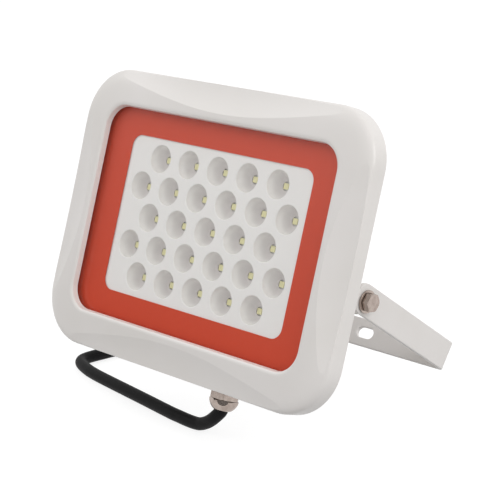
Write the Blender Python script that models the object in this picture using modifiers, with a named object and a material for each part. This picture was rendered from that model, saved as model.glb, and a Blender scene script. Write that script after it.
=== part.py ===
"""LED floodlight head on a bent steel bracket, with its short supply lead.

All sizes are in metres, +Z is up, and the lamp faces -Y. The origin is the centre of the bracket's
mounting face. The head is drawn in its own frame: x to the right, y up the front, z out of the front,
with z = 0 on the face of the reflector plate.
"""

import math

import bmesh
import bpy
from mathutils import Matrix, Vector

# Attitude of the lamp and of its bracket
LAMP_TILT = math.radians(17.42)  # the front leans back from upright
ARM_DROP = math.radians(34.34)  # the arms fall away behind the pivot
PIVOT_TO_BASE = 0.0797  # pivot axis to the bracket's mounting face
PIVOT_BELOW_MIDDLE = 0.00065  # the bolt holes sit a little below the middle of the strip
PIVOT_Y = -0.0140  # pivot axis in the head's frame
PIVOT_Z = -0.0262

# Clear gap between pieces that rest on each other, and limits for joining points and soft shading
GAP = 0.0003
WELD = 0.000001
SHARP = math.radians(35)
BEYOND = 0.1  # how far a cutting tool reaches out on its open side

# Optics
PITCH_X = 0.020
PITCH_Y = 0.015
CUP_ROWS = (5, 6, 5, 6, 5)
CUP_RIM_RADIUS = 0.0069
CUP_FOOT_RADIUS = 0.0022
CUP_DEPTH = 0.0069
CUP_WALL = 0.0011
CUP_FOOT_WALL = 0.0019
CUP_FLOOR = -0.0064
BOWL_STEPS = 2
PLATE_HALF = (0.0768, 0.0518)
PLATE_CORNER = 0.008
PLATE_THICKNESS = 0.0015
LED_SIZE = 0.0030
LED_HEIGHT = 0.0006
BOARD_HALF = (0.066, 0.044)
BOARD_FRONT = -0.0072
BOARD_THICKNESS = 0.0012
BOARD_SCREW_AT = (0.061, 0.039)
BOARD_CORNER = 0.003
BOARD_DRILL = 0.0018
LED_LEAD_HOLE = (0.0, -0.0080, 0.0025)

# Bezel, measured inwards from its outer edge
BEZEL_HALF = (0.0965, 0.0715)
BEZEL_CORNER = 0.0265
CORNER_PER_INSET = 0.784  # how fast the corner radius shrinks towards the window
BEZEL_BACK = -0.0056
BEZEL_LIP = 0.0065
REBATE_INSET = 0.0142
BEZEL_WALL = 0.0026
BEZEL_BOSS_RADIUS = 0.0036
BEZEL_BOSS_BACK = -0.0024
BEZEL_DRILL = 0.0018
BEZEL_DRILL_DEPTH = 0.0022

# Facets sliced out of the bezel's four sides
FACET_FALL = math.tan(math.radians(20.0))  # at the facet's inner edge
FACET_EASE = 8.9  # how fast it levels out towards the outer edge, per metre
FACET_DROOP = 0.0031  # of its inner edge, which follows the bezel's round at both ends
FACET_LIP = BEZEL_LIP - 0.0002
FACET_MIDDLE = 0.008  # from the facet's inner edge to the middle of the tool
FACET_REACH = 0.018
SIDE_FACET = (0.0820, 0.111, 0.062)  # inner edge, radius of that edge and half width
END_FACET = (0.0573, 0.240, 0.088)

# Glass and the printed border behind it
GLASS_HALF = (0.0813, 0.0563)
GLASS_CORNER = 0.0140
GLASS_BACK = 0.0008
GLASS_THICKNESS = 0.0020
WINDOW_HALF = (0.0615, 0.0400)
WINDOW_CORNER = 0.0060
PRINT_BACK = 0.0003
PRINT_THICKNESS = 0.0002
PRINT_MARGIN = 0.0004
SEAL_OUTER = ((0.0816, 0.0566), 0.0142)
SEAL_INNER = ((0.0781, 0.0531), 0.0107)

# Rear housing
FLANGE_HALF = (0.0922, 0.0672)
FLANGE_CORNER = 0.0225
FLANGE_FRONT = -0.0027
FLANGE_BACK = -0.0052
BODY_HALF = (0.0800, 0.0600)
BODY_BACK_HALF = (0.0745, 0.0565)
BODY_BACK = -0.0300
POCKET_HALF = (0.0776, 0.0526)
POCKET_FLOOR = -0.0087
POCKET_CORNER = 0.0100
RIM_FRONT = -0.0013
RIM_WIDTH = 0.0040
BODY_CORNER = 0.0140
SLOT_WIDTH = 0.0036
SLOT_FLOOR = -0.0150
SIDE_SLOTS = (0.0590, 0.0650, 0.0710)
TOP_SLOT_PITCH = 0.0060
TOP_SLOT_START = 0.0235
TOP_SLOT_COUNT = 17
FLANGE_DRILL = 0.0019

# Driver compartment in the back of the housing
DRIVER_CENTRE_Y = -0.0170
DRIVER_HALF = (0.0450, 0.0330)
DRIVER_FLOOR = -0.0130
COVER_HALF = (0.0530, 0.0375)
COVER_THICKNESS = 0.0020
COVER_SEAL_THICKNESS = 0.0010
COVER_SCREW_AT = (0.0492, 0.0310)
COVER_SCREW_DRILL = 0.0020
COVER_HOLE = 0.0023
DRIVER_BOARD_FRONT = -0.0160
DRIVER_BOARD_THICKNESS = 0.0016
DRIVER_BOARD_X = (-0.0420, -0.0020)
DRIVER_BOARD_Y = (-0.0470, 0.0130)
STANDOFF_RADIUS = 0.0025
STANDOFF_DRILL = 0.0014

# Bracket
STRIP_WIDTH = 0.0145
STRIP_THICKNESS = 0.0025
BRACKET_HALF = 0.0850
BEND_RADIUS = 0.0045
BEND_STEPS = 6
ARM_OVERRUN = 0.0075  # the arm carries on past the pivot
ARM_END_CORNER = 0.0060
SLOT_AT = 0.0314
SLOT_LENGTH = 0.0107
SLOT_RADIUS = 0.0029

# Pivot hardware
BOLT_RADIUS = 0.0024
BOLT_HOLE_RADIUS = 0.0028
BOLT_ACROSS_FLATS = 0.0081
BOLT_HEAD_HEIGHT = 0.0031
BOLT_TURN = 6.0  # degrees, where a corner of the hexagon points
BOLT_TIP = 0.0660
WASHER_RADIUS = 0.0055
WASHER_THICKNESS = 0.0009
FRICTION_RADIUS = 0.0068
BOSS_RADIUS = 0.0070
BOSS_FOOT = 0.0535
BOSS_END = 0.0806

# Cable gland, standing under the housing
GLAND_X = 0.0192
GLAND_Z = -0.0180
GLAND_PAD = -0.0665
GLAND_END = -0.0828
GLAND_ACROSS_FLATS = 0.0136
GLAND_BODY_TURN = -9.0  # degrees, where a corner of each hexagon points
GLAND_NUT_TURN = 22.0
GLAND_NUT_HEIGHT = 0.0054
GLAND_THREAD_RADIUS = 0.0058
GLAND_THREAD_FOOT = 0.0530
GLAND_BORE_RADIUS = 0.0048
GLAND_SEAL_RADIUS = 0.0045
GLAND_BOSS_RADIUS = 0.0095
GLAND_RING_RADIUS = 0.0082

# Supply lead
LEAD_RADIUS = 0.00325
CORE_RADIUS = 0.00105
LEAD_REST = -0.0304  # height of the lead's centre where it lies
LEAD_FROM = GLAND_END + 0.0018  # it starts inside the mouth of the nut
LEAD_TURN_FROM = GLAND_END + 0.0010
LEAD_TURN_RADIUS = 0.0042
LEAD_TURN = (0, 16, 32, 46)  # degrees
LEAD_ROUTE = (
    (0.0156, -0.0958, -0.0231),
    (0.0133, -0.0958, -0.0251),
    (0.0103, -0.0957, -0.0272),
    (0.0072, -0.0956, -0.0288),
    (0.0040, -0.0955, -0.0299),
    (0.0002, -0.0954, -0.0303),
    (-0.0045, -0.0952, LEAD_REST),
    (-0.0105, -0.0947, LEAD_REST),
    (-0.0187, -0.0939, LEAD_REST),
    (-0.0399, -0.0908, LEAD_REST),
    (-0.0620, -0.0877, LEAD_REST),
    (-0.0824, -0.0848, LEAD_REST),
    (-0.0916, -0.0831, LEAD_REST),
    (-0.0961, -0.0819, LEAD_REST),
    (-0.1012, -0.0802, LEAD_REST),
    (-0.1056, -0.0783, LEAD_REST),
    (-0.1087, -0.0763, LEAD_REST),
    (-0.1107, -0.0736, LEAD_REST),
    (-0.1115, -0.0702, LEAD_REST),
    (-0.1114, -0.0652, LEAD_REST),
    (-0.1107, -0.0594, LEAD_REST),
    (-0.1099, -0.0525, LEAD_REST),
    (-0.1082, -0.0440, LEAD_REST),
    (-0.1042, -0.0355, LEAD_REST),
    (-0.0972, -0.0288, LEAD_REST),
    (-0.0880, -0.0258, LEAD_REST),
    (-0.0750, -0.0252, LEAD_REST),
    (-0.0600, -0.0252, LEAD_REST),
    (-0.0400, -0.0253, LEAD_REST),
    (-0.0140, -0.0252, LEAD_REST),
)
LEAD_STEP = 0.0060
CORE_LENGTH = 0.0240
INNER_LEAD_END = -0.0480
INNER_CORE_END = -0.0330

for old in list(bpy.data.objects):
    bpy.data.objects.remove(old, do_unlink=True)

parts = bpy.data.collections.new("led_floodlight")
cutters = bpy.data.collections.new("cutters")
bpy.context.scene.collection.children.link(parts)
bpy.context.scene.collection.children.link(cutters)


def material(name, colour, roughness, metallic=0.0):
    """A plain Principled material."""
    made = bpy.data.materials.new(name)
    made.use_nodes = True
    shader = made.node_tree.nodes["Principled BSDF"]
    shader.inputs["Base Color"].default_value = (*colour, 1.0)
    shader.inputs["Roughness"].default_value = roughness
    shader.inputs["Metallic"].default_value = metallic
    return made


WHITE_PAINT = (0.76, 0.74, 0.71)
NICKEL = (0.52, 0.47, 0.43)
STEEL = (0.55, 0.55, 0.54)
RUBBER = (0.018, 0.017, 0.017)


def frame(name, location, tilt, parent=None):
    """An empty that carries pieces, turned about x by tilt."""
    made = bpy.data.objects.new(name, None)
    made.empty_display_size = 0.02
    made.location = location
    made.rotation_euler = (tilt, 0.0, 0.0)
    made.parent = parent
    parts.objects.link(made)
    return made


bracket_frame = frame("bracket_frame", (0.0, 0.0, 0.0), math.pi - ARM_DROP)
PIVOT = bracket_frame.rotation_euler.to_matrix() @ Vector((0.0, PIVOT_TO_BASE, PIVOT_BELOW_MIDDLE))
head_pivot = frame("head_pivot", PIVOT, math.pi / 2 - LAMP_TILT)
lamp_frame = frame("lamp_frame", (0.0, -PIVOT_Y, -PIVOT_Z), 0.0, head_pivot)
bpy.context.view_layer.update()


def finish(obj, paint, parent=lamp_frame):
    """Give an object its material, its parent and soft shading on its round faces."""
    obj.parent = parent
    parts.objects.link(obj)
    obj.data.materials.append(paint)
    if obj.type == "MESH":
        obj.data.shade_smooth()
        obj.data.set_sharp_from_angle(angle=SHARP)
    return obj


def as_cutter(obj, parent=lamp_frame):
    """Keep an object as a cutting tool only."""
    obj.parent = parent
    obj.hide_render = True
    obj.display_type = "WIRE"
    cutters.objects.link(obj)
    return obj


def boolean(target, tool, operation):
    """Cut, join or intersect the target with a tool."""
    step = target.modifiers.new(operation.lower() + "_" + tool.name, "BOOLEAN")
    step.operation = operation
    step.object = tool
    step.solver = "EXACT"
    return target


def mesh_object(name, bm):
    """A mesh object from a bmesh, with its faces turned outwards."""
    bmesh.ops.recalc_face_normals(bm, faces=bm.faces[:])
    mesh = bpy.data.meshes.new(name)
    bm.to_mesh(mesh)
    bm.free()
    return bpy.data.objects.new(name, mesh)


def flattened(obj):
    """The object with its curve or modifiers turned into one welded mesh, unlinked and unparented."""
    bpy.context.scene.collection.objects.link(obj)
    bpy.context.view_layer.update()
    graph = bpy.context.evaluated_depsgraph_get()
    mesh = bpy.data.meshes.new_from_object(obj.evaluated_get(graph))
    bm = bmesh.new()
    bm.from_mesh(mesh)
    bmesh.ops.remove_doubles(bm, verts=bm.verts[:], dist=WELD)
    bmesh.ops.recalc_face_normals(bm, faces=bm.faces[:])
    bm.to_mesh(mesh)
    bm.free()
    made = bpy.data.objects.new(obj.name, mesh)
    made.matrix_world = obj.matrix_world
    name = obj.name
    bpy.data.objects.remove(obj, do_unlink=True)
    made.name = name
    mesh.name = name
    return made


def arc(centre, radius, start, end, steps):
    """Points on an arc, by angle in degrees."""
    angles = [math.radians(start + (end - start) * step / steps) for step in range(steps + 1)]
    return [(centre[0] + radius * math.cos(a), centre[1] + radius * math.sin(a)) for a in angles]


def rounded(half, radius, centre=(0.0, 0.0), steps=5):
    """Outline of a rectangle with round corners, anticlockwise."""
    points = []
    for x_side, y_side, start in ((1, 1, 0), (-1, 1, 90), (-1, -1, 180), (1, -1, 270)):
        corner = (centre[0] + x_side * (half[0] - radius), centre[1] + y_side * (half[1] - radius))
        points += arc(corner, radius, start, start + 90, steps)
    return points


def circle(centre, radius, steps=16):
    """Outline of a circle."""
    return arc(centre, radius, 0, 360 * (steps - 1) / steps, steps - 1)


def hexagon(across_flats, turn):
    """Outline of a hexagon with a corner at the angle turn, in degrees."""
    return arc((0.0, 0.0), across_flats / math.sqrt(3), turn, turn + 300, 5)


def sheet(name, outlines, low, high):
    """A flat piece between two heights, from closed outlines; the inner ones are holes."""
    curve = bpy.data.curves.new(name, "CURVE")
    curve.dimensions = "2D"
    curve.fill_mode = "BOTH"
    curve.extrude = (high - low) / 2
    for outline in outlines:
        spline = curve.splines.new("POLY")
        spline.points.add(len(outline) - 1)
        for point, (x, y) in zip(spline.points, outline):
            point.co = (x, y, 0.0, 1.0)
        spline.use_cyclic_u = True
    obj = bpy.data.objects.new(name, curve)
    made = flattened(obj)
    made.data.transform(Matrix.Translation((0.0, 0.0, (high + low) / 2)))
    return made


def loft(name, rings, closed):
    """A skin through rounded rectangles (half size, corner radius, height); closed joins last to first."""
    bm = bmesh.new()
    loops = []
    for half, radius, height in rings:
        loops.append([bm.verts.new((x, y, height)) for x, y in rounded(half, radius)])
    pairs = list(zip(loops, loops[1:]))
    if closed:
        pairs.append((loops[-1], loops[0]))
    for lower, upper in pairs:
        count = len(lower)
        for i in range(count):
            j = (i + 1) % count
            bm.faces.new((lower[i], lower[j], upper[j], upper[i]))
    if not closed:
        bm.faces.new(loops[0])
        bm.faces.new(loops[-1])
    return mesh_object(name, bm)


def turned(name, profile, steps=20):
    """A turned piece about z, from a profile of (radius, height) that runs down its outer side."""
    mesh = bpy.data.meshes.new(name)
    points = [(radius, 0.0, height) for radius, height in profile]
    edges = [(i, i + 1) for i in range(len(points) - 1)]
    if profile[0][0] > 0.0:
        edges.append((len(points) - 1, 0))
    mesh.from_pydata(points, edges, [])
    obj = bpy.data.objects.new(name, mesh)
    screw = obj.modifiers.new("turn", "SCREW")
    screw.steps = steps
    screw.render_steps = steps
    screw.use_merge_vertices = True
    screw.merge_threshold = WELD
    return flattened(obj)


def ring(name, inner, outer, low, high, steps=18):
    """A flat round ring, such as a washer."""
    return turned(name, [(outer, high), (outer, low), (inner, low), (inner, high)], steps)


def rod(name, radius, low, high, steps=16):
    """A plain cylinder along z."""
    bm = bmesh.new()
    bmesh.ops.create_cone(
        bm, cap_ends=True, segments=steps, radius1=radius, radius2=radius, depth=high - low
    )
    bmesh.ops.translate(bm, verts=bm.verts[:], vec=(0.0, 0.0, (high + low) / 2))
    return mesh_object(name, bm)


def box(name, low, high):
    """A box between two corners."""
    bm = bmesh.new()
    bmesh.ops.create_cube(bm, size=1.0)
    low, high = Vector(low), Vector(high)
    bmesh.ops.scale(bm, verts=bm.verts[:], vec=high - low)
    bmesh.ops.translate(bm, verts=bm.verts[:], vec=(high + low) / 2)
    return mesh_object(name, bm)


def gathered(name, pieces):
    """One object that holds several loose pieces where they stand, for use as a tool."""
    bm = bmesh.new()
    for piece in pieces:
        start = len(bm.verts)
        bm.from_mesh(piece.data)
        bm.verts.ensure_lookup_table()
        bmesh.ops.transform(bm, matrix=piece.matrix_basis, verts=bm.verts[start:])
        bpy.data.objects.remove(piece, do_unlink=True)
    return mesh_object(name, bm)


def copies(name, pattern, places):
    """One object with a copy of the pattern at each place, for use as a tool."""
    bm = bmesh.new()
    for place in places:
        start = len(bm.verts)
        bm.from_mesh(pattern.data)
        bm.verts.ensure_lookup_table()
        bmesh.ops.translate(bm, vec=place, verts=bm.verts[start:])
    bpy.data.objects.remove(pattern, do_unlink=True)
    return mesh_object(name, bm)


def smooth_route(points, step):
    """Points about one step apart on a smooth curve through the route."""
    spare = [points[0] * 2 - points[1], *points, points[-1] * 2 - points[-2]]
    fine = []
    for before, start, end, after in zip(spare, spare[1:], spare[2:], spare[3:]):
        for part in range(24):
            t = part / 24
            fine.append(
                0.5
                * (
                    2 * start
                    + (end - before) * t
                    + (2 * before - 5 * start + 4 * end - after) * t * t
                    + (3 * start - before - 3 * end + after) * t * t * t
                )
            )
    fine.append(points[-1])
    length = sum((b - a).length for a, b in zip(fine, fine[1:]))
    count = max(2, round(length / step))
    kept = [fine[0]]
    walked = 0.0
    for a, b in zip(fine, fine[1:]):
        walked += (b - a).length
        if walked >= length * len(kept) / count - 1e-9 and len(kept) < count:
            kept.append(b)
    kept.append(fine[-1])
    return kept


def tube(name, points, radius, resolution):
    """A round wire through the points."""
    curve = bpy.data.curves.new(name, "CURVE")
    curve.dimensions = "3D"
    curve.bevel_depth = radius
    curve.bevel_resolution = resolution
    curve.use_fill_caps = True
    spline = curve.splines.new("POLY")
    spline.points.add(len(points) - 1)
    for point, place in zip(spline.points, points):
        point.co = (*place, 1.0)
    return bpy.data.objects.new(name, curve)


# Bracket: one strip of steel, bent twice
bracket_paint = material("white_painted_steel", WHITE_PAINT, 0.35)


def bracket_outline():
    """The bent strip seen along its width; y runs from the mounting face to the arms' ends."""
    end = PIVOT_TO_BASE + ARM_OVERRUN
    inner = BEND_RADIUS - STRIP_THICKNESS
    half = BRACKET_HALF
    outline = [(half, end)]
    outline += arc((half - BEND_RADIUS, BEND_RADIUS), BEND_RADIUS, 0, -90, BEND_STEPS)
    outline += arc((-half + BEND_RADIUS, BEND_RADIUS), BEND_RADIUS, -90, -180, BEND_STEPS)
    outline += [(-half, end), (-half + STRIP_THICKNESS, end)]
    outline += arc((-half + BEND_RADIUS, BEND_RADIUS), inner, -180, -90, BEND_STEPS)
    outline += arc((half - BEND_RADIUS, BEND_RADIUS), inner, -90, 0, BEND_STEPS)
    outline.append((half - STRIP_THICKNESS, end))
    return outline


bracket = sheet("tilt_bracket", [bracket_outline()], -STRIP_WIDTH / 2, STRIP_WIDTH / 2)
finish(bracket, bracket_paint, bracket_frame)


def arm_outline():
    """Side view of an arm with its round end; x runs across the strip and y along the arm."""
    corner_x = STRIP_WIDTH / 2 - ARM_END_CORNER
    corner_y = PIVOT_TO_BASE + ARM_OVERRUN - ARM_END_CORNER
    side = STRIP_WIDTH / 2 + GAP
    outline = [(-side, -BEYOND), (side, -BEYOND), (side, corner_y - GAP)]
    outline += arc((corner_x, corner_y), ARM_END_CORNER, 0, 90, 6)
    outline += arc((-corner_x, corner_y), ARM_END_CORNER, 90, 180, 6)
    outline.append((-side, corner_y - GAP))
    return outline


arm_shape = sheet("arm_shape", [arm_outline()], -BEYOND, BEYOND)
arm_shape.data.transform(Matrix.Rotation(-math.pi / 2, 4, "Y"))
boolean(bracket, as_cutter(arm_shape, bracket_frame), "INTERSECT")

pivot_drill = rod("pivot_drill", BOLT_HOLE_RADIUS, -BEYOND, BEYOND, 24)
pivot_drill.data.transform(
    Matrix.Translation((0.0, PIVOT_TO_BASE, PIVOT_BELOW_MIDDLE)) @ Matrix.Rotation(math.pi / 2, 4, "Y")
)
boolean(bracket, as_cutter(pivot_drill, bracket_frame), "DIFFERENCE")

slot_reach = SLOT_LENGTH / 2 - SLOT_RADIUS
slot_outline = arc((slot_reach, 0.0), SLOT_RADIUS, -90, 90, 8) + arc(
    (-slot_reach, 0.0), SLOT_RADIUS, 90, 270, 8
)
for side, side_name in ((-1, "left"), (1, "right")):
    slot = sheet("slot_" + side_name, [slot_outline], -2 * STRIP_THICKNESS, 2 * STRIP_THICKNESS)
    slot.data.transform(
        Matrix.Translation((side * SLOT_AT, 0.0, 0.0)) @ Matrix.Rotation(math.pi / 2, 4, "X")
    )
    boolean(bracket, as_cutter(slot, bracket_frame), "DIFFERENCE")

# Bezel: a shell with a channel behind, sliced by four shallow facets
bezel_paint = material("white_painted_aluminium", WHITE_PAINT, 0.28)


def bezel_ring(inset, height):
    """One ring of the bezel's section, by its distance in from the outer edge."""
    half = (BEZEL_HALF[0] - inset, BEZEL_HALF[1] - inset)
    return half, BEZEL_CORNER - CORNER_PER_INSET * inset, height


BEZEL_SECTION = (
    (0.0004, BEZEL_BACK),
    (0.0000, BEZEL_BACK + 0.0006),
    (0.0000, 0.0018),
    (0.0004, 0.0033),
    (0.0015, 0.0044),
    (0.0035, 0.0052),
    (0.0065, 0.0058),
    (0.0110, 0.0062),
    (0.0165, BEZEL_LIP),
    (0.0178, BEZEL_LIP - 0.0001),
    (0.0184, BEZEL_LIP - 0.0007),
    (0.0188, 0.0031),
    (REBATE_INSET, 0.0031),
    (REBATE_INSET, -0.0024),
    (REBATE_INSET - 0.0020, -0.0024),
    (REBATE_INSET - 0.0020, 0.0026),
    (BEZEL_WALL + 0.0016, 0.0022),
    (BEZEL_WALL, 0.0008),
    (BEZEL_WALL, BEZEL_BACK),
)
bezel = loft("front_bezel", [bezel_ring(*place) for place in BEZEL_SECTION], closed=True)
finish(bezel, bezel_paint)


def facet_tool(name, inner, radius, half_width, turn):
    """The space above a shallow dished slice whose inner edge is an arc, out along x then turned."""
    middle = inner + radius
    bm = bmesh.new()
    bmesh.ops.create_grid(bm, x_segments=8, y_segments=30, size=1.0)
    for vert in bm.verts:
        x = inner + FACET_MIDDLE + vert.co.x * FACET_REACH
        y = vert.co.y * half_width
        out = radius - math.hypot(middle - x, y)
        droop = FACET_DROOP * (y / half_width) ** 4
        vert.co = (x, y, FACET_LIP - droop - FACET_FALL * out + FACET_EASE * out**2)
    grown = bmesh.ops.extrude_face_region(bm, geom=bm.faces[:])
    top = [e for e in grown["geom"] if isinstance(e, bmesh.types.BMVert)]
    for vert in top:
        vert.co.z = BEYOND
    bmesh.ops.rotate(bm, verts=bm.verts[:], matrix=Matrix.Rotation(turn, 3, "Z"))
    return as_cutter(mesh_object(name, bm))


for index in range(4):
    size = END_FACET if index % 2 else SIDE_FACET
    boolean(bezel, facet_tool(f"facet_{index}", *size, index * math.pi / 2), "DIFFERENCE")

BEZEL_SCREWS = (
    (-0.083, 0.058),
    (0.0, 0.064),
    (0.083, 0.058),
    (-0.083, -0.058),
    (0.0, -0.064),
    (0.083, -0.058),
)
boss_places = [(x, y, 0.0) for x, y in BEZEL_SCREWS]
bezel_boss = rod("bezel_boss", BEZEL_BOSS_RADIUS, BEZEL_BOSS_BACK, 0.0034, 14)
boolean(bezel, as_cutter(copies("bezel_bosses", bezel_boss, boss_places)), "UNION")
bezel_drill = rod("bezel_drill", BEZEL_DRILL, -BEYOND, BEZEL_DRILL_DEPTH, 10)
boolean(bezel, as_cutter(copies("bezel_drills", bezel_drill, boss_places)), "DIFFERENCE")

# Glass, printed border and front seal
glass_paint = material("tempered_glass", (0.9, 0.93, 0.92), 0.03)
glass_paint.node_tree.nodes["Principled BSDF"].inputs["Alpha"].default_value = 0.2
glass = sheet(
    "glass_pane", [rounded(GLASS_HALF, GLASS_CORNER)], GLASS_BACK, GLASS_BACK + GLASS_THICKNESS
)
finish(glass, glass_paint)

border_outlines = [
    rounded([half - PRINT_MARGIN for half in GLASS_HALF], GLASS_CORNER - PRINT_MARGIN),
    rounded(WINDOW_HALF, WINDOW_CORNER),
]
border = sheet("printed_border", border_outlines, PRINT_BACK, PRINT_BACK + PRINT_THICKNESS)
finish(border, material("red_glass_print", (0.52, 0.07, 0.03), 0.4))

seal_outlines = [rounded(*SEAL_OUTER), rounded(*SEAL_INNER)]
front_seal = sheet("glass_seal", seal_outlines, RIM_FRONT + GAP, 0.0)
finish(front_seal, material("grey_silicone", (0.45, 0.45, 0.45), 0.7))

# Reflector plate with a bowl for each LED


def cup_places():
    """Centres of the bowls, row by row from the top."""
    rows = len(CUP_ROWS)
    for row, count in enumerate(CUP_ROWS):
        y = PITCH_Y * ((rows - 1) / 2 - row)
        for column in range(count):
            yield (PITCH_X * (column - (count - 1) / 2), y, 0.0)


reflector = sheet("reflector_plate", [rounded(PLATE_HALF, PLATE_CORNER)], -PLATE_THICKNESS, 0.0)
finish(reflector, material("white_abs_plastic", (0.85, 0.85, 0.83), 0.5))

bowl_span = CUP_RIM_RADIUS - CUP_FOOT_RADIUS
shell = turned(
    "cup_shell",
    [
        (0.0, -PLATE_THICKNESS / 2),
        (CUP_RIM_RADIUS + CUP_WALL, -PLATE_THICKNESS / 2),
        (CUP_RIM_RADIUS * 0.94 + CUP_WALL, -CUP_DEPTH * 0.55),
        (CUP_FOOT_RADIUS + CUP_FOOT_WALL, -CUP_DEPTH),
        (0.0, -CUP_DEPTH),
    ],
    8,
)
boolean(reflector, as_cutter(copies("cup_shells", shell, cup_places())), "UNION")

bowl_profile = [(0.0, CUP_DEPTH), (CUP_RIM_RADIUS, CUP_DEPTH)]
for step in range(BOWL_STEPS + 1):
    angle = math.radians(90 * step / BOWL_STEPS)
    bowl_profile.append(
        (CUP_FOOT_RADIUS + bowl_span * math.cos(angle), CUP_FLOOR * math.sin(angle))
    )
bowl_profile += [(CUP_FOOT_RADIUS, -2 * CUP_DEPTH), (0.0, -2 * CUP_DEPTH)]
bowl = turned("cup_bowl", bowl_profile, 12)
boolean(reflector, as_cutter(copies("cup_bowls", bowl, cup_places())), "DIFFERENCE")

# LED board with its packages
led_board = sheet(
    "led_board",
    [rounded(BOARD_HALF, BOARD_CORNER, steps=3), circle(LED_LEAD_HOLE[:2], LED_LEAD_HOLE[2], 12)],
    BOARD_FRONT - BOARD_THICKNESS,
    BOARD_FRONT,
)
finish(led_board, material("white_solder_mask", (0.8, 0.8, 0.78), 0.4))
led = box(
    "led",
    (-LED_SIZE / 2, -LED_SIZE / 2, BOARD_FRONT - BOARD_THICKNESS / 3),
    (LED_SIZE / 2, LED_SIZE / 2, BOARD_FRONT + LED_HEIGHT),
)
boolean(led_board, as_cutter(copies("leds", led, cup_places())), "UNION")

BOARD_SCREWS = [(x * BOARD_SCREW_AT[0], y * BOARD_SCREW_AT[1]) for x in (-1, 1) for y in (-1, 1)]
board_drill = rod("board_drill", BOARD_DRILL, -BEYOND, 0.0, 10)
board_drill_places = [(x, y, 0.0) for x, y in BOARD_SCREWS]
boolean(led_board, as_cutter(copies("board_drills", board_drill, board_drill_places)), "DIFFERENCE")

# Rear housing: a tray in front, fins and a driver compartment behind
housing_paint = material("white_cast_aluminium", WHITE_PAINT, 0.4)
RIM_HALF = [half + RIM_WIDTH for half in POCKET_HALF]
housing = loft(
    "rear_housing",
    [
        (BODY_BACK_HALF, 0.0110, BODY_BACK),
        ((BODY_HALF[0] - 0.0005, BODY_HALF[1] - 0.0005), 0.0138, -0.0085),
        (BODY_HALF, BODY_CORNER, FLANGE_BACK),
        (FLANGE_HALF, FLANGE_CORNER, FLANGE_BACK),
        (FLANGE_HALF, FLANGE_CORNER, FLANGE_FRONT),
        (RIM_HALF, POCKET_CORNER + RIM_WIDTH, FLANGE_FRONT),
        (RIM_HALF, POCKET_CORNER + RIM_WIDTH, RIM_FRONT),
        (POCKET_HALF, POCKET_CORNER, RIM_FRONT),
        (POCKET_HALF, POCKET_CORNER, POCKET_FLOOR),
    ],
    closed=False,
)
finish(housing, housing_paint)

slots = []
for side in (-1, 1):
    for x in SIDE_SLOTS:
        low = (side * x - SLOT_WIDTH / 2, -BEYOND, -BEYOND)
        slots.append(box("side_slot", low, (side * x + SLOT_WIDTH / 2, BEYOND, SLOT_FLOOR)))
for index in range(TOP_SLOT_COUNT):
    x = (index - TOP_SLOT_COUNT // 2) * TOP_SLOT_PITCH
    low = (x - SLOT_WIDTH / 2, TOP_SLOT_START, -BEYOND)
    slots.append(box("top_slot", low, (x + SLOT_WIDTH / 2, BEYOND, SLOT_FLOOR)))
boolean(housing, as_cutter(gathered("fin_slots", slots)), "DIFFERENCE")

driver_pocket = sheet(
    "driver_pocket", [rounded(DRIVER_HALF, 0.004, (0.0, DRIVER_CENTRE_Y), 4)], -BEYOND, DRIVER_FLOOR
)
boolean(housing, as_cutter(driver_pocket), "DIFFERENCE")

bosses = []
for side in (-1, 1):
    boss = rod("pivot_boss", BOSS_RADIUS, BOSS_FOOT, BOSS_END, 24)
    boss.matrix_basis = Matrix.Translation((0.0, PIVOT_Y, PIVOT_Z)) @ Matrix.Rotation(
        side * math.pi / 2, 4, "Y"
    )
    bosses.append(boss)
gland_boss = rod("gland_boss", GLAND_BOSS_RADIUS, GLAND_THREAD_FOOT, -GLAND_PAD, 24)
gland_boss.matrix_basis = Matrix.Translation((GLAND_X, 0.0, GLAND_Z)) @ Matrix.Rotation(
    math.pi / 2, 4, "X"
)
bosses.append(gland_boss)
STANDOFFS = [(x, y) for x in (-0.0380, -0.0060) for y in (-0.0430, 0.0090)]
for x, y in STANDOFFS:
    post = rod("standoff", STANDOFF_RADIUS, DRIVER_BOARD_FRONT + GAP, DRIVER_FLOOR + 0.001, 12)
    post.matrix_basis = Matrix.Translation((x, y, 0.0))
    bosses.append(post)
boolean(housing, as_cutter(gathered("housing_bosses", bosses)), "UNION")

drills = []
for side in (-1, 1):
    drill = rod("pivot_drill", BOLT_RADIUS + GAP, 0.0600, BEYOND, 16)
    drill.matrix_basis = Matrix.Translation((0.0, PIVOT_Y, PIVOT_Z)) @ Matrix.Rotation(
        side * math.pi / 2, 4, "Y"
    )
    drills.append(drill)
gland_drill = rod("gland_drill", GLAND_THREAD_RADIUS + GAP, 0.0450, BEYOND, 20)
gland_drill.matrix_basis = Matrix.Translation((GLAND_X, 0.0, GLAND_Z)) @ Matrix.Rotation(
    math.pi / 2, 4, "X"
)
drills.append(gland_drill)
for x, y in BEZEL_SCREWS:
    drill = rod("flange_drill", FLANGE_DRILL, FLANGE_BACK - GAP, FLANGE_FRONT + GAP, 10)
    drill.matrix_basis = Matrix.Translation((x, y, 0.0))
    drills.append(drill)
for x, y in BOARD_SCREWS:
    drill = rod("board_screw_drill", 0.0015, -0.0135, -0.007, 10)
    drill.matrix_basis = Matrix.Translation((x, y, 0.0))
    drills.append(drill)
COVER_SCREWS = [
    (x * COVER_SCREW_AT[0], DRIVER_CENTRE_Y + y * COVER_SCREW_AT[1]) for x in (-1, 1) for y in (-1, 1)
]
for x, y in COVER_SCREWS:
    drill = rod("cover_screw_drill", COVER_SCREW_DRILL, -BEYOND, -0.0215, 12)
    drill.matrix_basis = Matrix.Translation((x, y, 0.0))
    drills.append(drill)
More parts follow.
